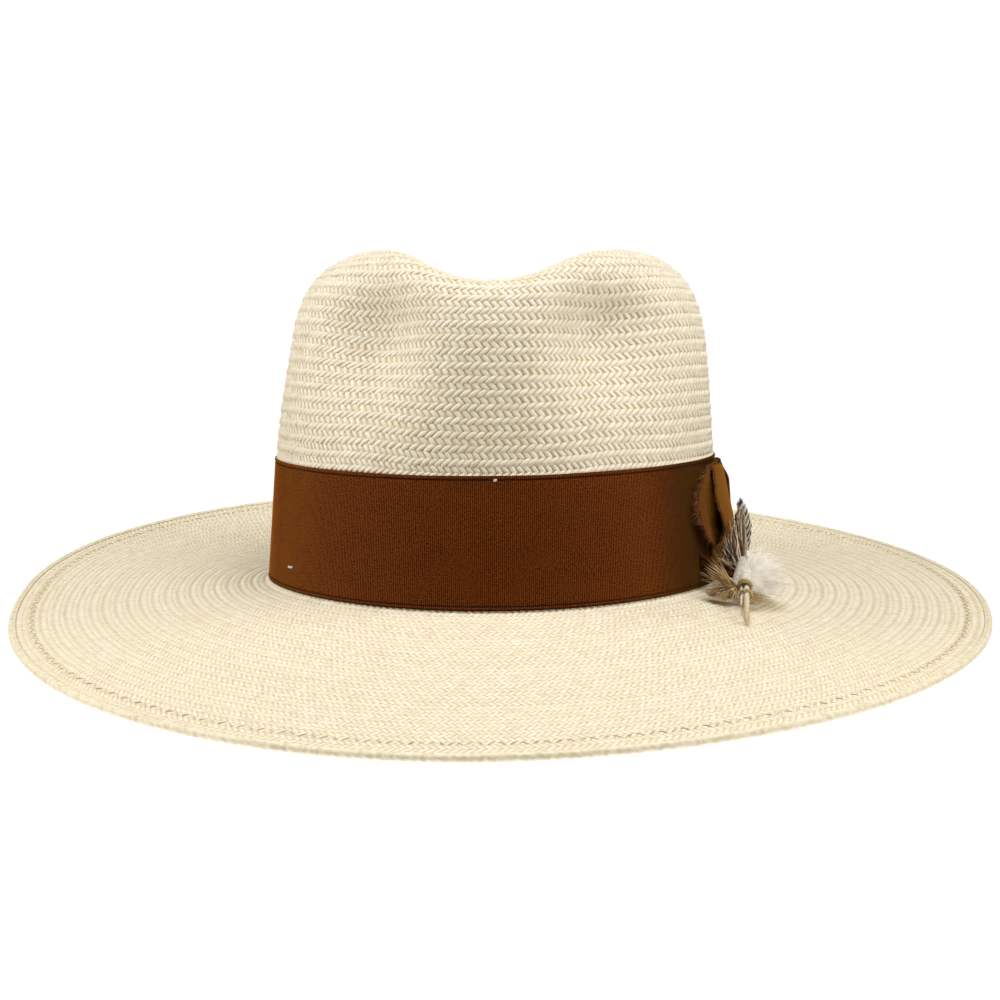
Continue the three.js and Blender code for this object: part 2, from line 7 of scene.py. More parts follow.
import bmesh
import bpy
import numpy as np
from mathutils import Vector
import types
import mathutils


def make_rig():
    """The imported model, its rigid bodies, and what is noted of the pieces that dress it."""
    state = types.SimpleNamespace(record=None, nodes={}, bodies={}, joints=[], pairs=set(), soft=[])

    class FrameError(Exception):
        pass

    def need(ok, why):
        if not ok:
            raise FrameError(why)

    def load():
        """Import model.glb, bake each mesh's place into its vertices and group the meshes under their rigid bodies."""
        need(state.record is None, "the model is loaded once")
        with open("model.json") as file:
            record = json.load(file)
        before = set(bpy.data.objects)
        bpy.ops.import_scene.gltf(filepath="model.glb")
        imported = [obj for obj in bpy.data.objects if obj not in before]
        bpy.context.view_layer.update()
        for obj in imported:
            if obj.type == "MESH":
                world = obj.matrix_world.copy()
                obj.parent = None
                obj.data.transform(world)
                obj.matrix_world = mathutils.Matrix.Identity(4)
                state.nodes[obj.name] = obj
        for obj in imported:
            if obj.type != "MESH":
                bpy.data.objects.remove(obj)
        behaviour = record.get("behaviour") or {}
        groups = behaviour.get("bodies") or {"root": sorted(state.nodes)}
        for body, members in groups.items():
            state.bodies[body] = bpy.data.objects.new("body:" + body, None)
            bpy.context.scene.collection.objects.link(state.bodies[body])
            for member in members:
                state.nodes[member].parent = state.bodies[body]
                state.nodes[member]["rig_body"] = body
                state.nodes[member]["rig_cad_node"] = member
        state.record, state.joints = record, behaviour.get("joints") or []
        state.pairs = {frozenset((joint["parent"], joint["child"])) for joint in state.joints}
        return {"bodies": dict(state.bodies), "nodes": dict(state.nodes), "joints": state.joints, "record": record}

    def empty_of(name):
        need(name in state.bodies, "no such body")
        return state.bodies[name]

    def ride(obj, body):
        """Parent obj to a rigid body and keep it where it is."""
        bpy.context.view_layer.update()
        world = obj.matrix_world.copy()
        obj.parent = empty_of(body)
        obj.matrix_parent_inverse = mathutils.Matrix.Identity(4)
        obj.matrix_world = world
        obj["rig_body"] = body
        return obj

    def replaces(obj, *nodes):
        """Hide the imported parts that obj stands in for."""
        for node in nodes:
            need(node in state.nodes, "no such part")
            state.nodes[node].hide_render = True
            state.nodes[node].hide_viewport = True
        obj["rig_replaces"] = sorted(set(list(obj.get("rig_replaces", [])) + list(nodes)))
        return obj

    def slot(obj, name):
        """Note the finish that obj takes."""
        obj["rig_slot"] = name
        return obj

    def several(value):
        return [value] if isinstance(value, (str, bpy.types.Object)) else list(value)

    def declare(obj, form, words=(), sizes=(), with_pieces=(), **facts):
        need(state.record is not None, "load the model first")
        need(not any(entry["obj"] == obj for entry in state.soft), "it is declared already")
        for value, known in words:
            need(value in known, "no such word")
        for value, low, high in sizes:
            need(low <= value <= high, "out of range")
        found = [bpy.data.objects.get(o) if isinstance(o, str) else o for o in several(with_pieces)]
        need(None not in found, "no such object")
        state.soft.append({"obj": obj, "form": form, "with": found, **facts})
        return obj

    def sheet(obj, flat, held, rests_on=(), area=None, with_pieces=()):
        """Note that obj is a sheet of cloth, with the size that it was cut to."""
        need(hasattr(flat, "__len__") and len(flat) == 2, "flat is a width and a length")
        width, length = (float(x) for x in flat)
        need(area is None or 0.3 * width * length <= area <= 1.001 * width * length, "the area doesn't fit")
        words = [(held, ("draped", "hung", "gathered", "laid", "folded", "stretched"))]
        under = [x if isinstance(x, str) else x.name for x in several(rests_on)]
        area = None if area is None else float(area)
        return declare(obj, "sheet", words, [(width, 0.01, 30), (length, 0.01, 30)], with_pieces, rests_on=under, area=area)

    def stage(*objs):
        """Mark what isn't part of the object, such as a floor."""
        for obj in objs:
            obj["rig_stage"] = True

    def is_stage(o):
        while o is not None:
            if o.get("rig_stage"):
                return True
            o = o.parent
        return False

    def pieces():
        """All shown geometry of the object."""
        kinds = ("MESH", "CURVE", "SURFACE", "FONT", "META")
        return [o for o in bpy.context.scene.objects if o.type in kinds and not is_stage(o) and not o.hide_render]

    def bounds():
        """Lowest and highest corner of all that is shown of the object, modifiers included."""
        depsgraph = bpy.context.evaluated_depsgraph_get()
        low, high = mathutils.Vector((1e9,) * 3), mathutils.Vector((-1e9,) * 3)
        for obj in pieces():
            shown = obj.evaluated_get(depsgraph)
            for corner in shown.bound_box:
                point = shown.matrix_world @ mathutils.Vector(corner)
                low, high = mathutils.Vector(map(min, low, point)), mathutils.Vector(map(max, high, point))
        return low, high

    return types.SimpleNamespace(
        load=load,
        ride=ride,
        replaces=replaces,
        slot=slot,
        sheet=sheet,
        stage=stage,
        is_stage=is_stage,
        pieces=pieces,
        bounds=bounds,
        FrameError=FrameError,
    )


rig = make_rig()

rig.load()
cad_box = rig.bounds()

MM = 0.001
DEG = math.pi / 180
rng = np.random.default_rng(7)

# ------------------------------------------------------------------ camera and studio
CAMERA_DISTANCE = 1.206         # metres from the centre of the head opening, seen from above
CAMERA_HEIGHT = 0.1194
CAMERA_AZIMUTH = 4.47 * DEG     # towards the wearer's left
CAMERA_PITCH = 4.24 * DEG       # looking down
CAMERA_SIDE_STEP = 0.00162
CAMERA_LENS = 108.6
FLOOR_DROP = 0.45               # the hat is held, as on a head, well above the floor
FLOOR_HALF = 0.92
WHITE_STRENGTH = 1.05
FILL_STRENGTH = 0.065
FILL_COLOUR = (1, 0.91, 0.73, 1)
LIGHTS = (
    # name, place, aim, width, watts, colour
    ("soft_left", (-1.15, -0.3, 0.5), (0, 0, 0.06), 0.8, 11.2, (1, 1, 1)),
    ("soft_right", (1.15, -0.25, 0.55), (0, 0, 0.06), 0.8, 8.6, (1, 1, 1)),
    ("soft_top", (0.16, -0.37, 1.25), (0, 0, 0), 1.1, 15.5, (0.97, 0.98, 1)),
)


def add_camera():
    """The photographer's place: in front, a little above the crown's foot, looking down."""
    data = bpy.data.cameras.new("camera")
    data.lens = CAMERA_LENS
    data.sensor_width = 36
    camera = bpy.data.objects.new("camera", data)
    bpy.context.collection.objects.link(camera)
    sine, cosine = math.sin(CAMERA_AZIMUTH), math.cos(CAMERA_AZIMUTH)
    camera.location = (
        CAMERA_DISTANCE * sine + CAMERA_SIDE_STEP * cosine,
        -CAMERA_DISTANCE * cosine + CAMERA_SIDE_STEP * sine,
        CAMERA_HEIGHT,
    )
    camera.rotation_euler = (math.pi / 2 - CAMERA_PITCH, 0, CAMERA_AZIMUTH)
    bpy.context.scene.camera = camera


def add_area_light(name, position, target, size, watts, colour):
    """A round soft light that faces its target."""
    data = bpy.data.lights.new(name, "AREA")
    data.shape = "DISK"
    data.size = size
    data.energy = watts
    data.color = colour
    light = bpy.data.objects.new(name, data)
    bpy.context.collection.objects.link(light)
    light.location = position
    aim = Vector(target) - Vector(position)
    light.rotation_euler = aim.to_track_quat("-Z", "Y").to_euler()


def add_world():
    """White for the camera, a softer white for what lights the hat."""
    world = bpy.data.worlds.new("studio")
    bpy.context.scene.world = world
    world.use_nodes = True
    nodes, links = world.node_tree.nodes, world.node_tree.links
    nodes.clear()
    seen = nodes.new("ShaderNodeBackground")
    seen.inputs["Color"].default_value = (1, 1, 1, 1)
    seen.inputs["Strength"].default_value = WHITE_STRENGTH
    fill = nodes.new("ShaderNodeBackground")
    fill.inputs["Color"].default_value = FILL_COLOUR
    fill.inputs["Strength"].default_value = FILL_STRENGTH
    path = nodes.new("ShaderNodeLightPath")
    mix = nodes.new("ShaderNodeMixShader")
    out = nodes.new("ShaderNodeOutputWorld")
    links.new(path.outputs["Is Camera Ray"], mix.inputs["Fac"])
    links.new(fill.outputs["Background"], mix.inputs[1])
    links.new(seen.outputs["Background"], mix.inputs[2])
    links.new(mix.outputs["Shader"], out.inputs["Surface"])


def add_floor():
    """A glowing white floor, which lights the underside of the brim."""
    mesh = bpy.data.meshes.new("floor")
    corners = [(-1, -1), (1, -1), (1, 1), (-1, 1)]
    places = [(FLOOR_HALF * x, FLOOR_HALF * y, -FLOOR_DROP) for x, y in corners]
    mesh.from_pydata(places, [], [(0, 1, 2, 3)])
    floor = bpy.data.objects.new("floor", mesh)
    bpy.context.collection.objects.link(floor)
    material = bpy.data.materials.new("floor_white")
    material.use_nodes = True
    shader = material.node_tree.nodes["Principled BSDF"]
    shader.inputs["Base Color"].default_value = (0.9, 0.9, 0.9, 1)
    shader.inputs["Roughness"].default_value = 0.9
    shader.inputs["Emission Color"].default_value = (1, 1, 1, 1)
    shader.inputs["Emission Strength"].default_value = 1.0
    mesh.materials.append(material)
    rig.stage(floor)


bpy.context.scene.view_settings.view_transform = "Standard"
add_camera()
add_world()
add_floor()
for light_settings in LIGHTS:
    add_area_light(*light_settings)

# ------------------------------------------------------------------ driving dimensions, as in the CAD
HEAD_HALF_WIDTH = 89.3
HEAD_HALF_LENGTH = 102.3
OVAL_POWER = 2.15
STRAW_THICKNESS = 1.4
CROWN_HEIGHT = 132.3
CROWN_TAPER = 0.089
CROWN_RIGHT_TAPER = 0.033
CROWN_RIGHT_FROM = 0.4          # share of the height where the right side begins to draw in
CROWN_RIGHT_RUN = 0.35
CROWN_LEAN = 0.017
CROWN_RHO_POWER = 3.4
CROWN_Z_POWER = 10.3
CROWN_WALL_SHARE = 0.8
CROWN_BACK_DROP = 0.03
CROWN_TOP_POWER = 1.6
CREASE_DEPTH = 32
CREASE_FRONT = -100
CREASE_FRONT_RUN = 70
CREASE_BACK = 88
CREASE_BACK_RUN = 60
CREASE_CENTRE = 3.3
CREASE_FRONT_HALF_WIDTH = 34.4
CREASE_WIDENING = 26.5
CREASE_WIDENING_RUN = 80        # the crease widens over this length in front of the crown's centre
PINCH_DEPTH = 18
PINCH_CENTRE = 3.5
PINCH_X = 47.5
PINCH_Z = 99
PINCH_REACH_X = 21
PINCH_REACH_UP = 20
PINCH_REACH_DOWN = 28
PINCH_INWARD = (-0.42, 0.91)
PINCH_BACK = -5
PINCH_FADE = 50
BRIM_WIDTH = 106.5
BRIM_SLOPE = 4.85               # mean slope in degrees, down and outward
BRIM_SLOPE_WAVES = (
    # waves per turn, then degrees of their cosine and sine
    (1, 16.35, 1.4), (2, -0.9, -1.3), (3, 0.5, 0),
)
BRIM_FRONT_SHORTER = 0.009      # share of the width that the front lacks and the back has more
BRIM_LEFT_WIDER = 0.021         # the same, for the wearer's left and right
BREAK_DIP = 4.5
FIT_GAP = 0.3
BAND_BOTTOM = 1
BAND_WIDTH = 47.6
BAND_THICKNESS = 0.6
WALL_TOP_LEVEL = 0.6            # crown level where the side wall turns into the top


def smooth(t):
    t = np.clip(t, 0, 1)
    return t * t * (3 - 2 * t)


def oval_point(angle, half_width, half_length):
    """Head oval, angle 0 at the front and growing towards +X. Returns x and y."""
    c, s = np.cos(angle), np.sin(angle)
    k = (np.abs(c) ** OVAL_POWER + np.abs(s) ** OVAL_POWER) ** (-1 / OVAL_POWER)
    return half_width * k * s, -half_length * k * c


def oval_normal(angle):
    """Outward normal of the oval, as x and y."""
    step = 0.002
    x1, y1 = oval_point(angle + step, HEAD_HALF_WIDTH, HEAD_HALF_LENGTH)
    x0, y0 = oval_point(angle - step, HEAD_HALF_WIDTH, HEAD_HALF_LENGTH)
    length = np.hypot(x1 - x0, y1 - y0)
    return (y1 - y0) / length, -(x1 - x0) / length


def break_height(angle):
    return -BREAK_DIP * np.cos(angle) ** 2


def brim_slope(angle):
    waves = [even * np.cos(k * angle) + odd * np.sin(k * angle) for k, even, odd in BRIM_SLOPE_WAVES]
    return DEG * (BRIM_SLOPE + sum(waves))


def brim_stretch(angle):
    """Width of the brim at an angle, against BRIM_WIDTH."""
    return 1 - BRIM_FRONT_SHORTER * np.cos(angle) + BRIM_LEFT_WIDER * np.sin(angle)


def brim_point(angle, out, up=0.0):
    """Point on the brim, `out` from the break and `up` above the straw's top face."""
    slope = brim_slope(angle)
    x, y = oval_point(angle, HEAD_HALF_WIDTH, HEAD_HALF_LENGTH)
    nx, ny = oval_normal(angle)
    out = out * brim_stretch(angle)
    reach = out * np.cos(slope) + up * np.sin(slope)
    z = break_height(angle) - out * np.sin(slope) + up * np.cos(slope)
    return np.stack(np.broadcast_arrays(x + nx * reach, y + ny * reach, z), axis=-1)


def crease_depth(x, y):
    """How far the teardrop crease sinks the top of the crown."""
    along = smooth((y - CREASE_FRONT) / CREASE_FRONT_RUN) * smooth((CREASE_BACK - y) / CREASE_BACK_RUN)
    half_width = CREASE_FRONT_HALF_WIDTH + CREASE_WIDENING * smooth(y / CREASE_WIDENING_RUN + 1)
    across = np.clip(1 - ((x - CREASE_CENTRE) / half_width) ** 2, 0, None) ** 2
    return CREASE_DEPTH * along * across


def crown_point(angle, level):
    """Outer face of the crown: level 0 at the break, 1 at the centre of the top."""
    angle, level = np.broadcast_arrays(angle, level)
    wall_height = CROWN_WALL_SHARE * level / WALL_TOP_LEVEL
    wall_rho = (1 - np.clip(wall_height, 0, 1) ** CROWN_Z_POWER) ** (1 / CROWN_RHO_POWER)
    rim_rho = (1 - CROWN_WALL_SHARE ** CROWN_Z_POWER) ** (1 / CROWN_RHO_POWER)
    over = np.clip((level - WALL_TOP_LEVEL) / (1 - WALL_TOP_LEVEL), 0, 1)
    top_rho = rim_rho * (1 - over ** CROWN_TOP_POWER)
    top_height = (1 - top_rho ** CROWN_RHO_POWER) ** (1 / CROWN_Z_POWER)
    on_top = level > WALL_TOP_LEVEL
    rho = np.where(on_top, top_rho, wall_rho)
    height = np.where(on_top, top_height, wall_height)
    rho = rho * (1 - CROWN_TAPER * height)
    to_right = smooth((height - CROWN_RIGHT_FROM) / CROWN_RIGHT_RUN) * np.clip(-np.sin(angle), 0, 1)
    drawn_in = 1 - CROWN_RIGHT_TAPER * to_right
    x, y = oval_point(angle, HEAD_HALF_WIDTH * rho * drawn_in, HEAD_HALF_LENGTH * rho)
    z = CROWN_HEIGHT * height * (1 - CROWN_BACK_DROP * height * y / HEAD_HALF_LENGTH)
    z = z + break_height(angle) * (1 - height) + CROWN_LEAN * x * height
    side = np.where(x < PINCH_CENTRE, -1, 1)
    reach_z = np.where(z > PINCH_Z, PINCH_REACH_UP, PINCH_REACH_DOWN)
    reach_x = (np.abs(x - PINCH_CENTRE) - PINCH_X) / PINCH_REACH_X
    pinch = PINCH_DEPTH * np.exp(-(reach_x ** 2) - ((z - PINCH_Z) / reach_z) ** 2)
    pinch = pinch * smooth((PINCH_BACK - y) / PINCH_FADE)
    z = z - crease_depth(x, y)
    return np.stack([x + side * pinch * PINCH_INWARD[0], y + pinch * PINCH_INWARD[1], z], axis=-1)


def wall_point(angle, height, out):
    """Crown face at a height inside the side wall, moved `out` along the oval's normal."""
    angle, height, out = np.broadcast_arrays(angle, height, out)
    point = crown_point(angle, WALL_TOP_LEVEL * height / (CROWN_WALL_SHARE * CROWN_HEIGHT))
    nx, ny = oval_normal(angle)
    return point + np.stack([nx * out, ny * out, np.zeros_like(out, dtype=float)], axis=-1)


# ------------------------------------------------------------------ mesh and material helpers
def unit(vectors):
    return vectors / np.maximum(np.linalg.norm(vectors, axis=-1, keepdims=True), 1e-12)


def add_mesh(name, points, faces, materials, slots=None, cloth=None, turn=None, tidy_normals=True):
    """One object from millimetre points and quads. slots gives each face's material, and cloth
    gives each point's place on the flat cloth, which the woven materials read. On a cloth that
    closes on itself, turn is how far along it one whole turn goes, at each point."""
    mesh = bpy.data.meshes.new(name)
    points = np.asarray(points, float).reshape(-1, 3) * MM
    faces = np.asarray(faces, np.int32)
    mesh.vertices.add(len(points))
    mesh.vertices.foreach_set("co", points.ravel())
    mesh.loops.add(faces.size)
    mesh.loops.foreach_set("vertex_index", faces.ravel())
    mesh.polygons.add(len(faces))
    mesh.polygons.foreach_set("loop_start", np.arange(0, faces.size, faces.shape[1], dtype=np.int32))
    for material in materials:
        mesh.materials.append(material)
    if slots is not None:
        mesh.polygons.foreach_set("material_index", np.asarray(slots, np.int32))
    if cloth is not None:
        corners = np.asarray(cloth, float).reshape(-1, 3)[faces]
        if turn is not None:
            along = corners[..., 0]
            whole = np.asarray(turn, float).ravel()[faces]
            at_seam = (along < 1e-6) & (along.max(axis=1, keepdims=True) > 0.5 * whole)
            corners[..., 0] = np.where(at_seam, whole, along)
        place_on_cloth = mesh.attributes.new("cloth", "FLOAT_VECTOR", "CORNER")
        place_on_cloth.data.foreach_set("vector", corners.ravel())
    mesh.polygons.foreach_set("use_smooth", np.full(len(faces), True))
    mesh.update(calc_edges=True)
    if tidy_normals:
        shape = bmesh.new()
        shape.from_mesh(mesh)
        bmesh.ops.recalc_face_normals(shape, faces=shape.faces)
        shape.to_mesh(mesh)
        shape.free()
    piece = bpy.data.objects.new(name, mesh)
    bpy.context.collection.objects.link(piece)
    return piece


def grid_faces(rows, columns, wrap_rows=False, wrap_columns=False):
    """Quads of a rows x columns grid of points, facing along (column step) x (row step)."""
    i = np.arange(rows if wrap_rows else rows - 1)[:, None]
    j = np.arange(columns if wrap_columns else columns - 1)[None, :]
    i2, j2 = (i + 1) % rows, (j + 1) % columns
    quads = [i * columns + j, i * columns + j2, i2 * columns + j2, i2 * columns + j]
    return np.stack(np.broadcast_arrays(*quads), axis=-1).reshape(-1, 4)


def shell(name, sheet, thickness, materials, outer=0.0, inner=0.0, wrap=False, cloth=None):
    """Closed slab round a grid of points: rows up the cloth, columns along it. outer and inner
    raise its two faces, and cloth is the grid's place on the flat cloth."""
    up = np.gradient(sheet, axis=0)
    along = np.roll(sheet, -1, 1) - np.roll(sheet, 1, 1) if wrap else np.gradient(sheet, axis=1)
    normal = unit(np.cross(along, up))
    rows, columns = sheet.shape[:2]
    outer = np.broadcast_to(thickness / 2 + outer, (rows, columns))[..., None]
    inner = np.broadcast_to(thickness / 2 + inner, (rows, columns))[..., None]
    points = np.concatenate([sheet + normal * outer, (sheet - normal * inner)[::-1]])
    faces = [grid_faces(2 * rows, columns, wrap_rows=True, wrap_columns=wrap)]
    if not wrap:
        k = np.arange(rows - 1)
        end = np.stack([k, k + 1, 2 * rows - 2 - k, 2 * rows - 1 - k], axis=1) * columns
        faces += [end, (end + columns - 1)[:, ::-1]]
    if cloth is not None:
        cloth = np.concatenate([cloth, cloth[::-1]])
    return add_mesh(name, points, np.concatenate(faces), materials, cloth=cloth)


ROUND_SIDES = 32                # faces round a solid round body
TILTED = (0.31, 0.17, 0.94)     # a direction that no tube runs along


def tube_grid(paths, radii, sides, flat, lean):
    """Points and quads of capped tubes. paths is (tubes, stations, 3) and radii (tubes, stations);
    flat squashes their section, and lean is the direction that a squashed section's width avoids."""
    count, stations = paths.shape[:2]
    radii = np.broadcast_to(radii, (count, stations))[..., None, None]
    along = unit(np.gradient(paths, axis=1))
    side = unit(np.cross(along, np.broadcast_to(lean, paths.shape)))
    rise = np.cross(side, along)
    turn = 2 * math.pi * (np.arange(sides) + 0.5) / sides
    ring = side[:, :, None] * np.cos(turn)[:, None] + rise[:, :, None] * (flat * np.sin(turn))[:, None]
    points = paths[:, :, None] + ring * radii
    k = np.arange(sides // 2 - 1)
    cap = np.stack([k, k + 1, sides - 2 - k, sides - 1 - k], axis=1)
    one = np.concatenate([
        grid_faces(stations, sides, wrap_columns=True)[:, ::-1],
        cap,
        (cap + (stations - 1) * sides)[:, ::-1],
    ])
    faces = one[None] + stations * sides * np.arange(count)[:, None, None]
    return points.reshape(-1, 3), faces.reshape(-1, 4), len(one)


def tubes(name, bundles, materials):
    """One object of many tubes. Each bundle is a dict: paths, radii, and if wanted sides, flat,
    lean and slot, the material of each tube or of each face along it."""
    points, faces, slots = [], [], []
    base = 0
    for bundle in bundles:
        paths = np.asarray(bundle["paths"], float)
        sides = bundle.get("sides", 4)
        lean = bundle.get("lean", TILTED)
        more, quads, per_tube = tube_grid(paths, bundle["radii"], sides, bundle.get("flat", 1.0), lean)
        slot = np.asarray(bundle.get("slot", 0))
        if slot.ndim == 2:
            walls = np.repeat(slot[:, :-1], sides, axis=1)
            ends = np.repeat(slot[:, [0, -1]], sides // 2 - 1, axis=1)
            slot = np.concatenate([walls, ends], axis=1)
        elif slot.ndim == 1:
            slot = slot[:, None]
        slots.append(np.broadcast_to(slot, (len(paths), per_tube)).ravel())
        points.append(more)
        faces.append(quads + base)
        base += len(more)
    return add_mesh(name, np.concatenate(points), np.concatenate(faces), materials,
                    np.concatenate(slots), tidy_normals=False)


def bend(start, middle, end, stations):
    """Curved paths through three places each, as (paths, stations, 3)."""
    t = np.linspace(0, 1, stations)[None, :, None]
    start, middle, end = (np.asarray(p, float)[:, None] for p in (start, middle, end))
    return start * (1 - t) * (1 - 2 * t) + middle * 4 * t * (1 - t) + end * t * (2 * t - 1)


def revolve(name, centre, radius, materials, phase_relief=None):
    """A body of round section about a curved centre line, closed at both ends. phase_relief is
    how far its face stands out at a station and a share of the turn."""
    points, faces, _ = tube_grid(centre[None], radius[None], ROUND_SIDES, 1.0, (1.0, 0.0, 0.02))
    if phase_relief is not None:
        grid = points.reshape(len(centre), ROUND_SIDES, 3)
        outward = unit(grid - centre[:, None])
        phase = np.arange(ROUND_SIDES)[None, :] / ROUND_SIDES
        relief = phase_relief(np.arange(len(centre))[:, None], phase)
        points = grid + outward * relief[..., None]
    return add_mesh(name, points, faces, materials)


def even_angles(count, start=0.0):
    """Angles that step evenly along the head oval for one turn, and the turn's length."""
    fine = start + np.linspace(0, 2 * math.pi, 4001)
    x, y = oval_point(fine, HEAD_HALF_WIDTH, HEAD_HALF_LENGTH)
    run = np.concatenate([[0], np.cumsum(np.hypot(np.diff(x), np.diff(y)))])
    return np.interp(np.arange(count) / count * run[-1], run, fine), run[-1]


def principled(name, colour, roughness, **settings):
    """A plain material. settings are further inputs of the shader, such as sheen_weight."""
    material = bpy.data.materials.new(name)
    material.use_nodes = True
    shader = material.node_tree.nodes["Principled BSDF"]
    shader.inputs["Base Color"].default_value = (*colour, 1)
    shader.inputs["Roughness"].default_value = roughness
    for key, value in settings.items():
        value = (*value, 1) if isinstance(value, tuple) else value
        shader.inputs[key.replace("_", " ").title().replace("Ior", "IOR")].default_value = value
    return material


def operation(kind, swapped=False):
    """A method of Value that adds one math node."""
    def method(self, *others):
        node = self.tree.nodes.new("ShaderNodeMath")
        node.operation = kind
        values = (*others, self) if swapped else (self, *others)
        for value, socket in zip(values, node.inputs):
            if isinstance(value, Value):
                self.tree.links.new(value.socket, socket)
            else:
                socket.default_value = value
        return Value(self.tree, node.outputs[0])

    return method


class Value:
    """A number that nodes work out, so that a pattern can be written as a sum."""

    def __init__(self, tree, socket):
        self.tree = tree
        self.socket = socket

    __add__ = operation("ADD")
    __sub__ = operation("SUBTRACT")
    __rsub__ = operation("SUBTRACT", swapped=True)
    __mul__ = operation("MULTIPLY")
    __mod__ = operation("MODULO")
    __pow__ = operation("POWER")
    __abs__ = operation("ABSOLUTE")
    whole = operation("FLOOR")
    part = operation("FRACT")
    cosine = operation("COSINE")
    at_least = operation("MAXIMUM")
    at_most = operation("MINIMUM")


class Pattern:
    """Short calls that add nodes to a material and return the values they work out."""

    def __init__(self, material):
        self.tree = material.node_tree
        self.shader = self.tree.nodes["Principled BSDF"]

    def node(self, kind, source=None, **settings):
        """A node whose first input comes from source, with settings on its named inputs."""
        node = self.tree.nodes.new(kind)
        for key, value in settings.items():
            node.inputs[key.title()].default_value = value
        if source is not None:
            self.tree.links.new(source, node.inputs[0])
        return node

    def split(self, vector):
        outputs = self.node("ShaderNodeSeparateXYZ", vector).outputs
        return [Value(self.tree, output) for output in outputs]

    def joined(self, x, y):
        node = self.node("ShaderNodeCombineXYZ")
        for value, socket in zip((x, y), node.inputs):
            self.tree.links.new(value.socket, socket)
        return node.outputs[0]

    def cloth(self):
        """Along the cloth, across it, and the distance from its nearest edge."""
        read = self.node("ShaderNodeAttribute")
        read.attribute_name = "cloth"
        return self.split(read.outputs["Vector"])

    def body(self):
        return self.node("ShaderNodeTexCoord").outputs["Object"]

    def noise(self, vector, detail=3.0):
        node = self.node("ShaderNodeTexNoise", vector, scale=1.0, detail=detail)
        return Value(self.tree, node.outputs["Fac"])

    def grain(self, scale, detail=3.0):
        """Noise over the piece, with a scale per metre, or one on each axis."""
        scale = scale if isinstance(scale, tuple) else (scale, scale, scale)
        mapping = self.node("ShaderNodeMapping", self.body(), scale=scale)
        return self.noise(mapping.outputs["Vector"], detail)

    def colours(self, factor, *stops):
        """Base colour from a factor: stops are (position, colour)."""
        ramp = self.node("ShaderNodeValToRGB", factor.socket)
        elements = ramp.color_ramp.elements
        while len(elements) < len(stops):
            elements.new(0.5)
        for element, (position, colour) in zip(elements, stops):
            element.position = position
            element.color = (*colour, 1)
        self.tree.links.new(ramp.outputs["Color"], self.shader.inputs["Base Color"])

    def bump(self, height, strength, distance_mm):
        node = self.node("ShaderNodeBump", strength=strength, distance=distance_mm * MM)
        self.tree.links.new(height.socket, node.inputs["Height"])
        self.tree.links.new(node.outputs["Normal"], self.shader.inputs["Normal"])


def mottled(name, colour, roughness, scale, *stops, **settings):
    """A material whose colour wanders between stops with its grain."""
    material = principled(name, colour, roughness, **settings)
    pattern = Pattern(material)
    pattern.colours(pattern.grain(scale), *stops)
    return material


def thread_material(name, colour):
    """Straw, thread or barb, a little darker in places."""
    darker = tuple(0.72 * c for c in colour)
    return mottled(name, colour, 0.65, 900, (0.35, darker), (0.65, colour))


def place(piece, body, slot, *nodes):
    """Puts a piece on its body, in its slot, for the CAD nodes that it stands for."""
    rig.ride(piece, body)
    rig.slot(piece, slot)
    if nodes:
        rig.replaces(piece, *nodes)
    return piece


# ------------------------------------------------------------------ the woven surface
ROW_PITCH = 2.53                # height of one row of floats
FLOAT_PITCH = 2.85              # spacing of the floats along a row
BRIM_FLOAT_PITCH = 2.5          # the brim is stretched less, so its floats lie closer
TABLE_ROWS = 420
TABLE_COLUMNS = 1800
SHEET_EDGE = BRIM_WIDTH - 2.35
SURFACE_START = 0.4             # the sheet begins this far from the crown's centre


def run_along(line):
    """Distance from the first point of a line to each of its points."""
    steps = np.linalg.norm(np.diff(line, axis=0), axis=-1)
    return np.concatenate([[0], np.cumsum(steps)])


def resampled(line, run, wanted):
    return np.stack([np.interp(wanted, run, line[:, axis]) for axis in range(3)], axis=-1)


def meridian_table():
    """Top face of the straw as points on rings, from the crown's centre to the sheet's edge.

    Rings are evenly spaced down each meridian and points are evenly spaced round each ring, with
    the seam at the back. Returns the points, the ring positions s (mean distance from the centre)
    and each ring's length."""
    angles = np.linspace(-math.pi, math.pi, 1441)
    levels = np.linspace(1, 0, 901)
    crown = crown_point(angles[None, :], levels[:, None])
    outs = np.linspace(0, SHEET_EDGE, 301)[1:]
    brim = brim_point(angles[None, :], outs[:, None])
    crown_length = np.linalg.norm(np.diff(crown, axis=0), axis=-1).sum(0)
    mean_crown = crown_length.mean()
    total = mean_crown + SHEET_EDGE
    wanted = np.linspace(0, total, TABLE_ROWS)
    rings = np.empty((TABLE_ROWS, len(angles), 3))
    for j in range(len(angles)):
        line = np.concatenate([crown[:, j], brim[:, j]])
        run = run_along(line)
        at_break = run[len(levels) - 1]
        on_brim = mean_crown + (run - at_break) * SHEET_EDGE / (run[-1] - at_break)
        run = np.where(run < at_break, run * mean_crown / at_break, on_brim)
        rings[:, j] = resampled(line, run, wanted)
    table = np.empty((TABLE_ROWS, TABLE_COLUMNS, 3))
    lengths = np.empty(TABLE_ROWS)
    share = np.arange(TABLE_COLUMNS) / TABLE_COLUMNS
    for i, ring in enumerate(rings):
        run = run_along(ring)
        lengths[i] = run[-1]
        run = run / run[-1] if run[-1] > 1e-6 else np.linspace(0, 1, len(run))
        table[i] = resampled(ring, run, share)
    return table, wanted, lengths, mean_crown


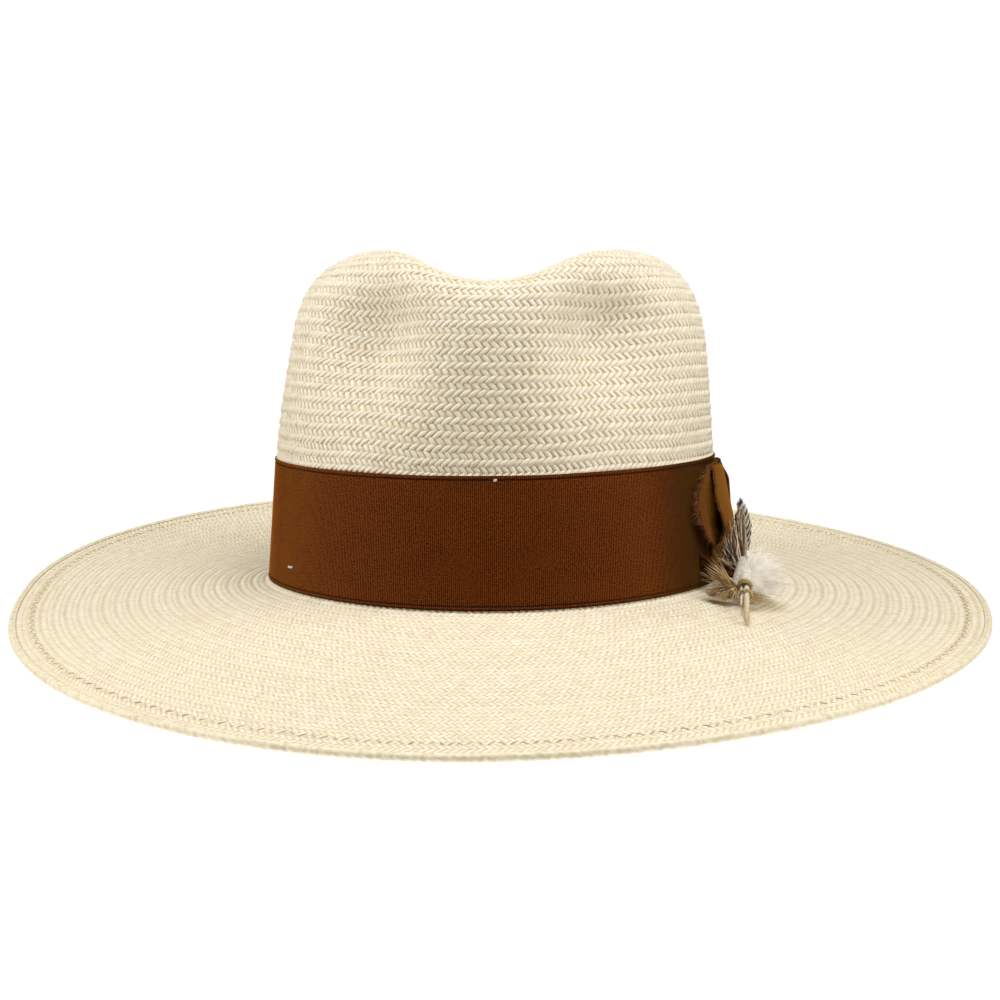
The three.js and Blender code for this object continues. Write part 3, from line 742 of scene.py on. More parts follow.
def soften_break(table, positions, break_at, radius=2.2):
    """Rounds the corner between crown and brim over about `radius` millimetres each way."""
    step = positions[1] - positions[0]
    reach = max(1, int(round(radius / step)))
    padded = np.pad(table, ((reach, reach), (0, 0), (0, 0)), mode="edge")
    mean = np.mean([padded[k:k + len(table)] for k in range(2 * reach + 1)], axis=0)
    near = np.exp(-((positions - break_at) / (2 * radius)) ** 2)[:, None, None]
    return table * (1 - near) + mean * near


def surface_normals(table):
    down = np.gradient(table, axis=0)
    onward = np.roll(table, -1, axis=1) - np.roll(table, 1, axis=1)
    normal = unit(np.cross(down, onward))
    normal[0] = (0, 0, 1)
    return normal


class StrawSurface:
    """Position and outward normal of the straw's top face at (s, share of a turn)."""

    def __init__(self):
        table, self.positions, self.lengths, self.break_at = meridian_table()
        self.table = soften_break(table, self.positions, self.break_at)
        self.normals = surface_normals(self.table)
        self.end = self.positions[-1]

    def ring_length(self, s):
        return np.interp(s, self.positions, self.lengths)

    def at(self, s, share, height):
        """Points at a height over the face."""
        row = np.clip(s / self.end, 0, 1) * (TABLE_ROWS - 1)
        column = (share % 1.0) * TABLE_COLUMNS
        i = np.minimum(row.astype(int), TABLE_ROWS - 2)
        j = column.astype(int) % TABLE_COLUMNS
        j2 = (j + 1) % TABLE_COLUMNS
        f = (row - i)[..., None]
        g = (column - np.floor(column))[..., None]

        def mixed(grid):
            near = grid[i, j] * (1 - g) + grid[i, j2] * g
            far = grid[i + 1, j] * (1 - g) + grid[i + 1, j2] * g
            return near * (1 - f) + far * f

        return mixed(self.table) + mixed(self.normals) * np.asarray(height)[..., None]


surface = StrawSurface()

# ------------------------------------------------------------------ straw body
FLOAT_SINK = 0.16               # how far a float's edges lie under the sheet's face
SHEET_SINK = 0.12               # the sheet behind the floats lies this far under the CAD face
FLOAT_STATIONS = np.array([-0.5, -0.38, -0.14, 0.14, 0.38, 0.5])
ROW_SHIFT = 0.3                 # every second row begins this share of a float further on
COUNT_SLACK = 0.1               # a row's count of floats changes when it is off by this share
COUNT_AHEAD = 1.08              # a growing count is set this far ahead, so that it holds for longer
COUNT_BEHIND = 0.93
# Rising rows are plump and lie flatter; the falling rows between them are shorter and steeper.
RISING = {"angle": -34 * DEG, "length": 5.0, "width": 1.95, "rise": 0.68, "shoulder": 0.33}
FALLING = {"angle": 47 * DEG, "length": 4.3, "width": 1.85, "rise": 0.46, "shoulder": 0.33}
# The brim is pressed flat: its floats are even, with thin gaps between them.
BRIM_RISING = {"angle": -40 * DEG, "length": 4.1, "width": 1.58, "rise": 0.19, "shoulder": 0.39}
BRIM_FALLING = {"angle": 41 * DEG, "length": 4.0, "width": 1.58, "rise": 0.17, "shoulder": 0.39}
FLOATS_PER_PIECE = 4300
WEAVE_START = 1.2               # from the crown's centre to the first row
WEAVE_END_GAP = 0.6             # from the last row to the sheet's edge
STRAW_TINTS = (
    (0.83, 0.742, 0.575), (0.85, 0.768, 0.605), (0.815, 0.722, 0.55),
    (0.87, 0.792, 0.635), (0.79, 0.687, 0.505), (0.84, 0.752, 0.58),
)
TINT_SHARES = (0.26, 0.2, 0.18, 0.12, 0.06, 0.18)


def row_counts(s):
    """Floats in each row: constant over a band of rows, so that the herringbone stays in step."""
    counts = []
    current = 0
    pitches = np.where(s > surface.break_at, BRIM_FLOAT_PITCH, FLOAT_PITCH)
    for ideal in np.maximum(5, surface.ring_length(s) / pitches):
        if not current or abs(ideal / current - 1) > COUNT_SLACK:
            current = round(ideal * (COUNT_AHEAD if ideal > current else COUNT_BEHIND))
        counts.append(current)
    return np.array(counts)


def weave_floats(first, last):
    """Centre, share of a turn and kind of every float whose row lies between first and last."""
    rows = int(round((last - first) / ROW_PITCH))
    pitch = (last - first) / rows
    centres = first + pitch * (np.arange(rows) + 0.5)
    counts = row_counts(centres)
    s, share, falling = [], [], []
    for k in range(rows):
        shift = ROW_SHIFT * (k % 2)
        s.append(np.full(counts[k], centres[k]))
        share.append((np.arange(counts[k]) + shift) / counts[k])
        falling.append(np.full(counts[k], k % 2 == 1))
    return np.concatenate(s), np.concatenate(share), np.concatenate(falling)


def float_patches(s, share, falling):
    """Points and quads of the floats: each a small closed cushion slanted across its row."""
    along = FLOAT_STATIONS[None, None, :]
    count = len(s)
    on_brim = s > surface.break_at

    def size(key, spread):
        on_crown = np.where(falling, FALLING[key], RISING[key])
        value = np.where(on_brim, np.where(falling, BRIM_FALLING[key], BRIM_RISING[key]), on_crown)
        return (value * (1 + spread * rng.standard_normal(count)))[:, None, None]

    length = size("length", 0.05)
    slant = size("angle", 0.07)
    width = size("width", 0.05)
    rise = size("rise", 0.12)
    shoulder = size("shoulder", 0.0)
    edge = np.full(shoulder.shape, 0.5)
    across = np.concatenate([-edge, -shoulder, shoulder, edge], axis=1)
    raised = np.array([0.0, 1.0, 1.0, 0.0])[None, :, None]
    x = length * along
    y = width * across * np.sqrt(1 - 0.75 * np.abs(2 * along) ** 4)
    arch = 1 - np.abs(2 * along) ** 2.6
    height = rise * raised * (0.35 + 0.65 * arch) - FLOAT_SINK - 0.14 * (1 - arch)
    turn = x * np.cos(slant) - y * np.sin(slant)
    down = x * np.sin(slant) + y * np.cos(slant)
    s, share = s[:, None, None], share[:, None, None]
    points = surface.at(s + down, share + turn / surface.ring_length(s), height)
    rows, columns = points.shape[1:3]
    j = np.arange(columns - 1)
    last_row = (rows - 1) * columns
    below = np.stack([j, j + 1, last_row + j + 1, last_row + j], axis=1)
    end = columns * np.arange(rows)[None]
    cell = np.concatenate([grid_faces(rows, columns)[:, ::-1], below, end, end[:, ::-1] + columns - 1])
    faces = cell[None] + rows * columns * np.arange(count)[:, None, None]
    return points.reshape(count, -1, 3), faces, len(cell)


def straw_weave():
    """The floats, in several pieces so that none is too large a mesh."""
    s, share, falling = weave_floats(WEAVE_START, surface.end - WEAVE_END_GAP)
    points, faces, per_float = float_patches(s, share, falling)
    tint = rng.choice(len(STRAW_TINTS), size=len(s), p=TINT_SHARES)
    materials = [
        principled(f"straw_tint_{k + 1}", colour, 0.46, specular_ior_level=0.42)
        for k, colour in enumerate(STRAW_TINTS)
    ]
    pieces = math.ceil(len(s) / FLOATS_PER_PIECE)
    for k, chosen in enumerate(np.array_split(np.arange(len(s)), pieces)):
        quads = (faces[chosen] - faces[chosen[0]].min()).reshape(-1, 4)
        yield add_mesh(f"straw_weave_{k + 1}", points[chosen], quads, materials,
                       np.repeat(tint[chosen], per_float), tidy_normals=False)


def herringbone(pattern):
    """0 to 1 over the floats of a woven face: 1 in their middles, 0 in the gaps between them."""
    turn, row, _ = pattern.cloth()
    within = row.part() - 0.5
    odd = row.whole() % 2.0
    slanted = turn + within * (odd * 2.0 - 1.0) + odd * 0.35
    near_side = (abs(slanted.part() - 0.5) * 2.0) ** 4.0
    near_end = (abs(within) * 2.0) ** 5.0
    return 1.0 - near_side.at_least(near_end)


def woven_material(name, shaded_gap, straw):
    """A woven face whose floats are drawn by nodes: inside the crown, under the brim, the hem.
    The darker colour in the gaps between the floats is painted shade.
    """
    material = principled(name, straw, 0.6)
    pattern = Pattern(material)
    raised = herringbone(pattern)
    tone = pattern.grain((260, 260, 900), detail=2.0) * 0.35 + raised * 0.75
    # Painted shade: the gaps between the floats take the darker gap colour.
    middle = tuple((a + 2 * b) / 3 for a, b in zip(shaded_gap, straw))
    pattern.colours(tone, (0.05, shaded_gap), (0.5, middle), (0.95, straw))
    pattern.bump(raised, 0.9, 0.35)
    return material


def straw_sheet():
    """The sheet behind the floats, closed, with the inside of the crown and the brim's underside."""
    s = np.linspace(SURFACE_START, surface.end, 320)
    share = np.arange(360) / 360
    s_grid, share_grid = np.meshgrid(s, share, indexing="ij")
    top = surface.at(s_grid, share_grid, -SHEET_SINK)
    under = surface.at(s_grid, share_grid, -STRAW_THICKNESS)
    points = np.concatenate([top, under[::-1]])
    rows, columns = points.shape[:2]
    faces = grid_faces(rows, columns, wrap_rows=True, wrap_columns=True)[:, ::-1]
    on_top = faces.min(axis=1) < (len(s) - 1) * columns
    counts = row_counts(s)
    place_in_weave = np.stack([share_grid * counts[:, None], s_grid / ROW_PITCH, 0 * s_grid], axis=-1)
    cloth = np.concatenate([place_in_weave, place_in_weave[::-1]])
    turn = np.broadcast_to(np.concatenate([counts, counts[::-1]])[:, None], cloth.shape[:2])
    # Painted shade: the sheet's top face, seen in the gaps between the floats, is darker than the straw.
    shaded_gap = mottled("straw_gap_painted_shade", (0.5, 0.4, 0.22), 0.85, 300,
                  (0.3, (0.6, 0.47, 0.25)), (0.7, (0.72, 0.61, 0.39)))
    # The first colour of the inside is painted shade in the gaps between its floats.
    inside = woven_material("straw_inside", (0.4, 0.3, 0.15), (0.8, 0.7, 0.5))
    return add_mesh("straw_sheet", points, faces, [shaded_gap, inside], np.where(on_top, 0, 1), cloth, turn)


for weave_piece in straw_weave():
    place(weave_piece, "hat", "straw", "straw_body")
place(straw_sheet(), "hat", "straw", "straw_body")

# ------------------------------------------------------------------ brim edge
HEM_WIDTH = 12.5
STITCH_INSET = 9.3              # from the brim's edge to the row of stitches
HEM_UNDER = -STRAW_THICKNESS - FIT_GAP
HEM_THICKNESS = 0.9
HEM_ROWS = 5                    # rows of points across each flat face of the hem
LIP_BRAIDS = 340                # strands of the braid that rolls over the edge
BRAID_STATIONS = 8              # points along the rim for each strand
BRAIDED_LIP_ROWS = 3            # rows of the lip, on the top face, that belong to the braid
WIRE_INSET = 1.4
WIRE_UP = -0.75
STITCH_COUNT = 320


def brim_hem():
    """The sheet's edge, turned under and rolled over the wire, with a braided outer face."""
    angle, turn_length = even_angles(LIP_BRAIDS * BRAID_STATIONS)
    roll = np.linspace(-90, 120, 16) * DEG
    hollow = np.linspace(115, -90, 8) * DEG
    flat_out = BRIM_WIDTH - np.linspace(HEM_WIDTH, 1.6, HEM_ROWS)
    lip_out = BRIM_WIDTH - np.array([2.3, 2.8, 3.0, 2.8, 2.3])
    lip_up = np.array([0.2, 0.14, 0.02, -0.06, -0.08])
    outs = np.concatenate([
        flat_out, BRIM_WIDTH - 1.3 + 1.3 * np.cos(roll), lip_out,
        BRIM_WIDTH - WIRE_INSET + 0.75 * np.cos(hollow), flat_out[::-1],
    ])
    ups = np.concatenate([
        np.full(HEM_ROWS, HEM_UNDER - HEM_THICKNESS), -1.1 + 1.5 * np.sin(roll), lip_up,
        WIRE_UP + 0.75 * np.sin(hollow), np.full(HEM_ROWS, HEM_UNDER),
    ])
    strand = np.arange(len(angle))[None, :] / BRAID_STATIONS + np.linspace(0, 1.1, len(roll))[:, None]
    plump = np.sqrt(np.abs(np.sin(math.pi * strand)))
    fade = np.sin(math.pi * np.linspace(0, 1, len(roll)) ** 0.8)[:, None]
    rolled = slice(HEM_ROWS, HEM_ROWS + len(roll))
    grow = np.zeros((len(outs), len(angle)))
    grow[rolled] = (0.42 * plump - 0.3) * fade
    away = np.zeros((len(outs), 2))
    away[rolled] = np.stack([np.cos(roll), np.sin(roll)], axis=1)
    out_grid = outs[:, None] + grow * away[:, :1]
    up_grid = ups[:, None] + grow * away[:, 1:]
    points = brim_point(angle[None, :], out_grid, up_grid)
    rows, columns = points.shape[:2]
    floats = round(turn_length * 2.2 / FLOAT_PITCH)
    along = np.arange(columns) / columns * floats
    cloth = np.stack([along[None] + 0 * out_grid, out_grid / ROW_PITCH, 0 * out_grid], axis=-1)
    faces = grid_faces(rows, columns, wrap_rows=True, wrap_columns=True)
    first, last = faces.min(axis=1) // columns, faces.max(axis=1) // columns
    braided = (first >= HEM_ROWS) & (last < rolled.stop + BRAIDED_LIP_ROWS)
    braid = mottled("straw_braid", (0.84, 0.745, 0.54), 0.5, 500,
                    (0.3, (0.7, 0.58, 0.36)), (0.6, (0.86, 0.77, 0.57)))
    # The first colour of the hem's underside is painted shade in the gaps between its floats.
    under = woven_material("straw_hem", (0.42, 0.32, 0.16), (0.82, 0.72, 0.52))
    turn = np.full(out_grid.shape, floats)
    return add_mesh("brim_hem_fold", points, faces, [under, braid], braided.astype(int), cloth, turn)


def oval_normals(angle):
    nx, ny = oval_normal(angle)
    return np.stack([nx, ny, 0 * nx], axis=-1)


def ring_tube(name, centre, normal, radius, sides, materials):
    """A closed ring of round section about a centre line of points."""
    turn = 2 * math.pi * np.arange(sides) / sides
    out = radius * np.cos(turn)[:, None, None] * normal[None]
    up = radius * np.sin(turn)[:, None, None] * np.array([0.0, 0.0, 1.0])
    faces = grid_faces(sides, len(centre), wrap_rows=True, wrap_columns=True)
    return add_mesh(name, centre[None] + out + up, faces, materials)


def brim_wire():
    steel = mottled("spring_steel", (0.55, 0.55, 0.54), 0.3, (90, 90, 900),
                    (0.35, (0.42, 0.42, 0.41)), (0.65, (0.62, 0.62, 0.6)), metallic=1.0)
    angle, _ = even_angles(480)
    centre = brim_point(angle, BRIM_WIDTH - WIRE_INSET, WIRE_UP)
    return ring_tube("brim_spring_wire", centre, oval_normals(angle), 0.5, 10, [steel])


def brim_stitches():
    """A row of long stitches, leaning one way and the other, that sews the hem down."""
    angle, _ = even_angles(STITCH_COUNT)
    half = 2 * math.pi / STITCH_COUNT * 0.34
    t = np.linspace(-1, 1, 8)
    way = np.where(np.arange(STITCH_COUNT) % 2, 1, -1)[:, None]
    astray = 0.15 * rng.standard_normal((STITCH_COUNT, 1))
    out = BRIM_WIDTH - STITCH_INSET + 0.95 * way * t + astray
    up = -0.35 + 0.62 * (1 - t ** 4)
    paths = brim_point(angle[:, None] + half * t, out, up)
    stitches = {"paths": paths, "radii": 0.2 * (1 - 0.45 * t ** 4), "sides": 6, "flat": 0.7}
    return tubes("brim_stitch_row", [stitches], [thread_material("stitch_straw", (0.68, 0.56, 0.31))])


place(brim_hem(), "hat", "straw", "brim_hem")
place(brim_wire(), "hat", "spring_wire", "brim_wire")
place(brim_stitches(), "hat", "straw_thread", "brim_stitching")

# ------------------------------------------------------------------ ribbon
RIB_PITCH = 0.75
BAND_LENGTH = 0.602             # metres
BAND_START = 100 * DEG          # the band's ends meet here, behind the bow
BAND_FACE = FIT_GAP + BAND_THICKNESS
SELVEDGE = 1.5                  # width of the corded edge of a grosgrain ribbon
# Painted shade: the colour is darker between the ribs and lighter on their crests.
RIB_PAINTED_SHADE = 0.4
THREAD_CONTRAST = 2.4
CLOUD_CONTRAST = 0.2
# Painted shade of the bow on the band: how much darker the band grows as it nears the bow.
BOW_PAINTED_SHADE = 0.85                # share of its tone that the band loses as it nears the bow
BOW_SHADE_FROM = 510            # millimetres along the band
BOW_SHADE_RUN = 28


def ribbon_material(name, dark, light, sheen, raw=False, painted_bow_shade=False):
    """Grosgrain: ribs across the ribbon, fine threads along it, painted shade in the grooves by its
    edges and along its lower edge, or a worn edge where it was cut raw. The light and dark of the
    ribs is painted shade too, and on the band painted shade darkens it as it nears the bow."""
    material = principled(name, light, 0.75, specular_ior_level=0.06, sheen_weight=0.5,
                          sheen_roughness=0.35, sheen_tint=sheen)
    pattern = Pattern(material)
    along, across, edge = pattern.cloth()
    rib = (along * (2 * math.pi / RIB_PITCH)).cosine()
    threads = pattern.noise(pattern.joined(along * 1.5, across * 1.8))
    clouds = pattern.noise(pattern.joined(along * 0.07, across * 0.12))
    # The rib term is painted shade between the ribs; threads and clouds are the ribbon's own tone.
    tone = rib * RIB_PAINTED_SHADE + (threads - 0.5) * THREAD_CONTRAST + (clouds - 0.5) * CLOUD_CONTRAST + 0.5
    if raw:
        worn = (1.2 - edge) * 0.2
        tone = tone - worn.at_least(0.0).at_most(0.35)
    else:
        # Painted shade: darker in the groove beside each corded edge, and along the lower edge.
        groove_shade_factor = (abs(edge - SELVEDGE) * 2.2).at_most(1.0)
        lower_edge_shade_factor = (across * 0.8 + 0.2).at_most(1.0)
        tone = tone * groove_shade_factor * lower_edge_shade_factor
    if painted_bow_shade:
        # Painted shade of the bow, darkening the band over its last stretch.
        into_bow_shade = ((along - BOW_SHADE_FROM) * (1 / BOW_SHADE_RUN)).at_least(0.0).at_most(1.0)
        tone = tone * (1.0 - into_bow_shade * BOW_PAINTED_SHADE)
    darkest = tuple(0.18 * c for c in dark)
    pattern.colours(tone, (0.0, darkest), (0.3, dark), (0.85, light))
    pattern.bump(rib * 0.25 + threads, 0.5, 0.12)
    return material


# The band runs from behind the bow all the way round to it, with painted shade where it nears the bow.
BAND_RIBBON = ribbon_material(
    "band_grosgrain", (0.055, 0.0105, 0.0012), (0.21, 0.049, 0.0036), (1.0, 0.45, 0.02), painted_bow_shade=True)
LEAF_RIBBON = ribbon_material(
    "leaf_grosgrain", (0.055, 0.0135, 0.0018), (0.15, 0.047, 0.007), (1.0, 0.42, 0.05), raw=True)
DARK_RIBBON = ribbon_material(
    "backing_grosgrain", (0.04, 0.01, 0.002), (0.13, 0.034, 0.006), (1.0, 0.5, 0.1))


def ribbon_edge_rows(width):
    """Heights across a ribbon, close together at its corded edges."""
    edge = np.array([0, 0.15, 0.4, 0.75, 1.1, 1.35, SELVEDGE, 1.7, 2.0])
    return np.concatenate([edge, np.linspace(3.5, width - 3.5, 6), width - edge[::-1]])


def selvedge_relief(heights, width):
    """A cord along each edge, with a groove beside it."""
    near = np.minimum(heights, width - heights)
    return 0.2 * np.exp(-((near - 0.75) / 0.5) ** 2) - 0.16 * np.exp(-((near - SELVEDGE) / 0.25) ** 2)


def band():
    """The ribbon stretched round the crown, with four points along it for each rib."""
    _, turn_length = even_angles(8)
    ribs = round(turn_length / RIB_PITCH)
    angle, _ = even_angles(ribs * 4, start=BAND_START)
    rows = ribbon_edge_rows(BAND_WIDTH)
    sheet = wall_point(angle[None, :], BAND_BOTTOM + rows[:, None], FIT_GAP + BAND_THICKNESS / 2)
    rib = 0.05 * np.cos(math.pi / 2 * np.arange(len(angle)))
    relief = selvedge_relief(rows, BAND_WIDTH)[:, None] + rib[None, :]
    along = np.arange(len(angle)) * RIB_PITCH / 4
    near_edge = np.minimum(rows, BAND_WIDTH - rows)
    cloth = np.stack(np.broadcast_arrays(along[None, :], rows[:, None], near_edge[:, None]), axis=-1)
    return shell("hat_band_ribbon", sheet, BAND_THICKNESS, [BAND_RIBBON], outer=relief, wrap=True,
                 cloth=cloth)


band_piece = place(band(), "hat", "band_ribbon", "hat_band")
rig.sheet(band_piece, flat=(BAND_WIDTH * MM, BAND_LENGTH), held="stretched", rests_on=["straw_body"])

TACKS = (
    # degrees and height of each tack, and half its length in radians
    (-54, 9.9, 0.021), (5, 47, 0.006), (-150, 5.1, 0.021), (150, 5.1, 0.021),
)


def tack(index, degrees, height, half_length):
    """Two turns of white thread that pin the ribbon to the straw."""
    t = np.linspace(-1, 1, 7)
    angle = degrees * DEG + t * half_length
    lift = BAND_FACE - 0.1 + 0.5 * (1 - t ** 2)
    paths = [wall_point(angle, height + strand + 0.12 * t, lift) for strand in (-0.2, 0.22)]
    thread = thread_material(f"tack_thread_{index}", (0.86, 0.83, 0.76))
    return tubes(f"band_tack_thread_{index}", [{"paths": paths, "radii": 0.2, "sides": 6}], [thread])


for tack_index, tack_place in enumerate(TACKS, start=1):
    place(tack(tack_index, *tack_place), "hat", "straw_thread", f"band_tack_{tack_index}")

# ------------------------------------------------------------------ side bow
BOW_CLOTH = 0.7
KNOT_CLOTH = 0.9
BOW_CENTRE = 98 * DEG
LEAF_ROOT = BOW_CENTRE - 0.6 * DEG
TAIL_ROOT = BOW_CENTRE + 0.6 * DEG
BACKING_OUT = BAND_FACE + FIT_GAP + BOW_CLOTH / 2
INNER_LEAF_OUT = BACKING_OUT + BOW_CLOTH + FIT_GAP + 0.1
OUTER_LEAF_OUT = INNER_LEAF_OUT + BOW_CLOTH + 0.4
LEAST_CUT_SHARE = 0.31          # a cut piece keeps at least this share of its rectangle


def cloth_grid(sheet, raw_end=None):
    """Place of each point on the flat cloth. raw_end is the column that was cut, 0 or -1."""
    across = np.linalg.norm(np.diff(sheet, axis=0), axis=-1).mean(1)
    across = np.concatenate([[0], np.cumsum(across)])[:, None]
    along = np.linalg.norm(np.diff(sheet, axis=1), axis=-1)
    along = np.concatenate([np.zeros((len(sheet), 1)), np.cumsum(along, axis=1)], axis=1)
    edge = np.minimum(across, across[-1] - across) + 0 * along
    if raw_end is not None:
        edge = np.abs(along - along[:, [raw_end]])
    return np.stack(np.broadcast_arrays(along, across, edge), axis=-1)


def bow_sheet(start, end, low, high, out, rows, columns):
    """Points of a bow ribbon on the band, u along it from start to end and v up it. end is a
    function of v, low and high are functions of u. Columns run with the angle."""
    v, u = np.meshgrid(np.linspace(0, 1, rows), np.linspace(0, 1, columns), indexing="ij")
    height = low(u) + (high(u) - low(u)) * v
    sheet = wall_point(start + (end(v) - start) * u, height, out(u, v))
    return sheet if end(0.5) > start else sheet[:, ::-1]


def backing_sheet():
    """The flat ribbon under the leaves."""
    return bow_sheet(72 * DEG, lambda v: 122 * DEG, lambda u: 4, lambda u: 46,
                     lambda u, v: BACKING_OUT, 26, 80)


def inner_leaf_sheet():
    """Its cut edge is hollow, with small notches."""
    def cut(v):
        notches = 0.3 * np.sin(33 * v) + 0.2 * np.sin(71 * v)
        return (69 - 8 * np.sin(math.pi * v) ** 0.8 + notches) * DEG

    def out(u, v):
        return INNER_LEAF_OUT + 1.1 * smooth(2 * u - 1) * (1.4 - v) + 0.25 * u * np.sin(9 * v + 5 * u)

    return bow_sheet(LEAF_ROOT, cut, lambda u: 15 - 4 * np.sin(math.pi * u) + u,
                     lambda u: 37 + 8.8 * smooth(1.6 * u), out, 34, 56)


def outer_leaf_sheet():
    """It stands off most a third of the way up."""
    def cut(v):
        return (68.6 + 1.8 * np.cos(2 * math.pi * v) + 0.25 * np.sin(37 * v)) * DEG

    def out(u, v):
        bulge = np.clip(np.sin(math.pi * v ** 0.63), 0, None) ** 1.1
        waves = 0.25 * u * np.sin(11 * v + 4)
        return OUTER_LEAF_OUT + 2.5 * (1 + u) * smooth(1.8 * u) * bulge + waves

    return bow_sheet(LEAF_ROOT, cut, lambda u: 15 - 3 * np.sin(math.pi * u) + u,
                     lambda u: 37 + 9.2 * smooth(1.6 * u), out, 38, 52)


def rear_tail_sheet():
    """The loose end behind the bow, which widens and lifts off the band."""
    def cut(v):
        return (124 + 4 * v + 1.2 * np.sin(7 * v)) * DEG

    def out(u, v):
        return INNER_LEAF_OUT + 1.6 * smooth(1.5 * u) * np.sin(math.pi * v) + 0.2 * u * np.sin(10 * v)

    return bow_sheet(TAIL_ROOT, cut, lambda u: 14 - 5 * smooth(1.5 * u),
                     lambda u: 38 + 6 * smooth(1.5 * u), out, 32, 52)


def bow_knot_sheet():
    """A pleated strap across the middle of the bow."""
    def out(u, v):
        pleats = 0.3 * np.cos(6 * math.pi * u) * np.sin(math.pi * v)
        return INNER_LEAF_OUT + 0.2 + 2.8 * smooth(5 * np.minimum(v, 1 - v)) + pleats

    return bow_sheet(BOW_CENTRE - 5 * DEG, lambda v: BOW_CENTRE + 5 * DEG, lambda u: 4.5,
                     lambda u: 46, out, 60, 33)


def cut_of(sheet):
    up = np.linalg.norm(np.diff(sheet, axis=0), axis=-1).sum(0).max() * MM
    along = np.linalg.norm(np.diff(sheet, axis=1), axis=-1).sum(1).max() * MM
    cells = np.cross(sheet[1:, 1:] - sheet[:-1, :-1], sheet[:-1, 1:] - sheet[1:, :-1])
    area = np.linalg.norm(cells, axis=-1).sum() / 2 * MM ** 2
    return {"flat": (up, along), "area": max(LEAST_CUT_SHARE * up * along, min(area, up * along))}


FRAY_RADIUS = 0.07
FRAY_TINTS = [
    thread_material("fray_golden", (0.46, 0.2, 0.06)),
    thread_material("fray_red", (0.26, 0.06, 0.014)),
    thread_material("fray_dark", (0.11, 0.028, 0.007)),
]


def fray(sheet, column, inner_column, count, reach):
    """Loose threads along the cut edge of a ribbon, as a bundle for tubes()."""
    edge = sheet[:, column]
    outward = unit(edge - sheet[:, inner_column])
    spot = rng.random(count) * (len(edge) - 1.001)
    k = spot.astype(int)
    part = (spot - k)[:, None]
    root = edge[k] * (1 - part) + edge[k + 1] * part
    way = outward[k] * (1 - part) + outward[k + 1] * part
    length = reach * (0.25 + 0.75 * rng.random((count, 1)) ** 1.6)
    wander = 0.6 * rng.standard_normal((count, 3))
    middle = root + (way + 0.5 * wander) * length * 0.5
    end = root + (way + wander) * length
    return {
        "paths": bend(root - 0.5 * way, middle, end, 5),
        "radii": FRAY_RADIUS * np.array([1, 1, 0.9, 0.7, 0.4]),
        "slot": rng.integers(0, len(FRAY_TINTS), count),
    }


inner_sheet = inner_leaf_sheet()
outer_sheet = outer_leaf_sheet()
tail_sheet = rear_tail_sheet()
BOW_SHEETS = (
    # name, sheet, thickness, material, slot, CAD node, cut column
    ("bow_backing_ribbon", backing_sheet(), BOW_CLOTH, DARK_RIBBON, "band_ribbon", "bow_backing", None),
    ("bow_inner_leaf_ribbon", inner_sheet, BOW_CLOTH, LEAF_RIBBON, "leaf_ribbon", "bow_inner_leaf", 0),
    ("bow_outer_leaf_ribbon", outer_sheet, BOW_CLOTH, LEAF_RIBBON, "leaf_ribbon", "bow_outer_leaf", 0),
    ("bow_rear_tail_ribbon", tail_sheet, BOW_CLOTH, LEAF_RIBBON, "leaf_ribbon", "bow_rear_tail", -1),
    ("bow_knot_strap", bow_knot_sheet(), KNOT_CLOTH, DARK_RIBBON, "band_ribbon", "bow_knot", None),
)
for name, sheet, thickness, material, slot, node, cut in BOW_SHEETS:
    piece = shell(name, sheet, thickness, [material], cloth=cloth_grid(sheet, cut))
    place(piece, "hat", slot, node)
    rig.sheet(piece, held="folded", rests_on=["hat_band"], **cut_of(sheet))

FRAYS = (
    # name, sheet, its cut column and the one before it, threads, longest thread, CAD node
    ("inner_leaf_fray", inner_sheet, 0, 1, 380, 2.6, "bow_inner_leaf"),
    ("outer_leaf_fray", outer_sheet, 0, 1, 210, 1.1, "bow_outer_leaf"),
    ("rear_tail_fray", tail_sheet, -1, -2, 320, 2.2, "bow_rear_tail"),
)
for name, *fray_settings, node in FRAYS:
    place(tubes(name, [fray(*fray_settings)], FRAY_TINTS), "hat", "leaf_ribbon", node)

# ------------------------------------------------------------------ keeper of the feather spray
SPRAY_START = np.array([99.4, -84.5, -8.9])
SPRAY_AXIS = unit(np.array([0, 0.92, 0.392]))
SPRAY_SIDE = np.array([1.0, 0.0, 0.0])
SPRAY_RISE = np.cross(SPRAY_SIDE, SPRAY_AXIS)
KEEPER_FROM = 28
KEEPER_TO = 46
KEEPER_RADIUS = 2.8
KEEPER_BORE = 2.2
STOP_GAP = KEEPER_TO + FIT_GAP
KNOT_END = 54
WRAP_THREAD = 0.3               # radius of the thread wound round the spray
TAB_FLAT = (0.0105, 0.014)      # metres
WHITE_THREAD = thread_material("keeper_thread", (0.8, 0.74, 0.62))
GOLDEN_THREAD = thread_material("golden_thread", (0.52, 0.36, 0.15))


def along_spray(distance):
    """Point of the spray's axis at each distance from the tip of the long quill."""
    return SPRAY_START + np.asarray(distance, float)[..., None] * SPRAY_AXIS


def round_spray(turn):
    """Direction out from the spray's axis at each angle."""
    return np.cos(turn)[:, None] * SPRAY_SIDE + np.sin(turn)[:, None] * SPRAY_RISE


def thread_wrap(start, end, radius):
    """Path of a thread wound round the spray's axis. radius is a function of the share."""
    turns = round((end - start) / (1.9 * WRAP_THREAD))
    t = np.linspace(0, 1, turns * 18)
    out = radius(t)[:, None] * round_spray(2 * math.pi * turns * t)
    return (along_spray(start + (end - start) * t) + out)[None]


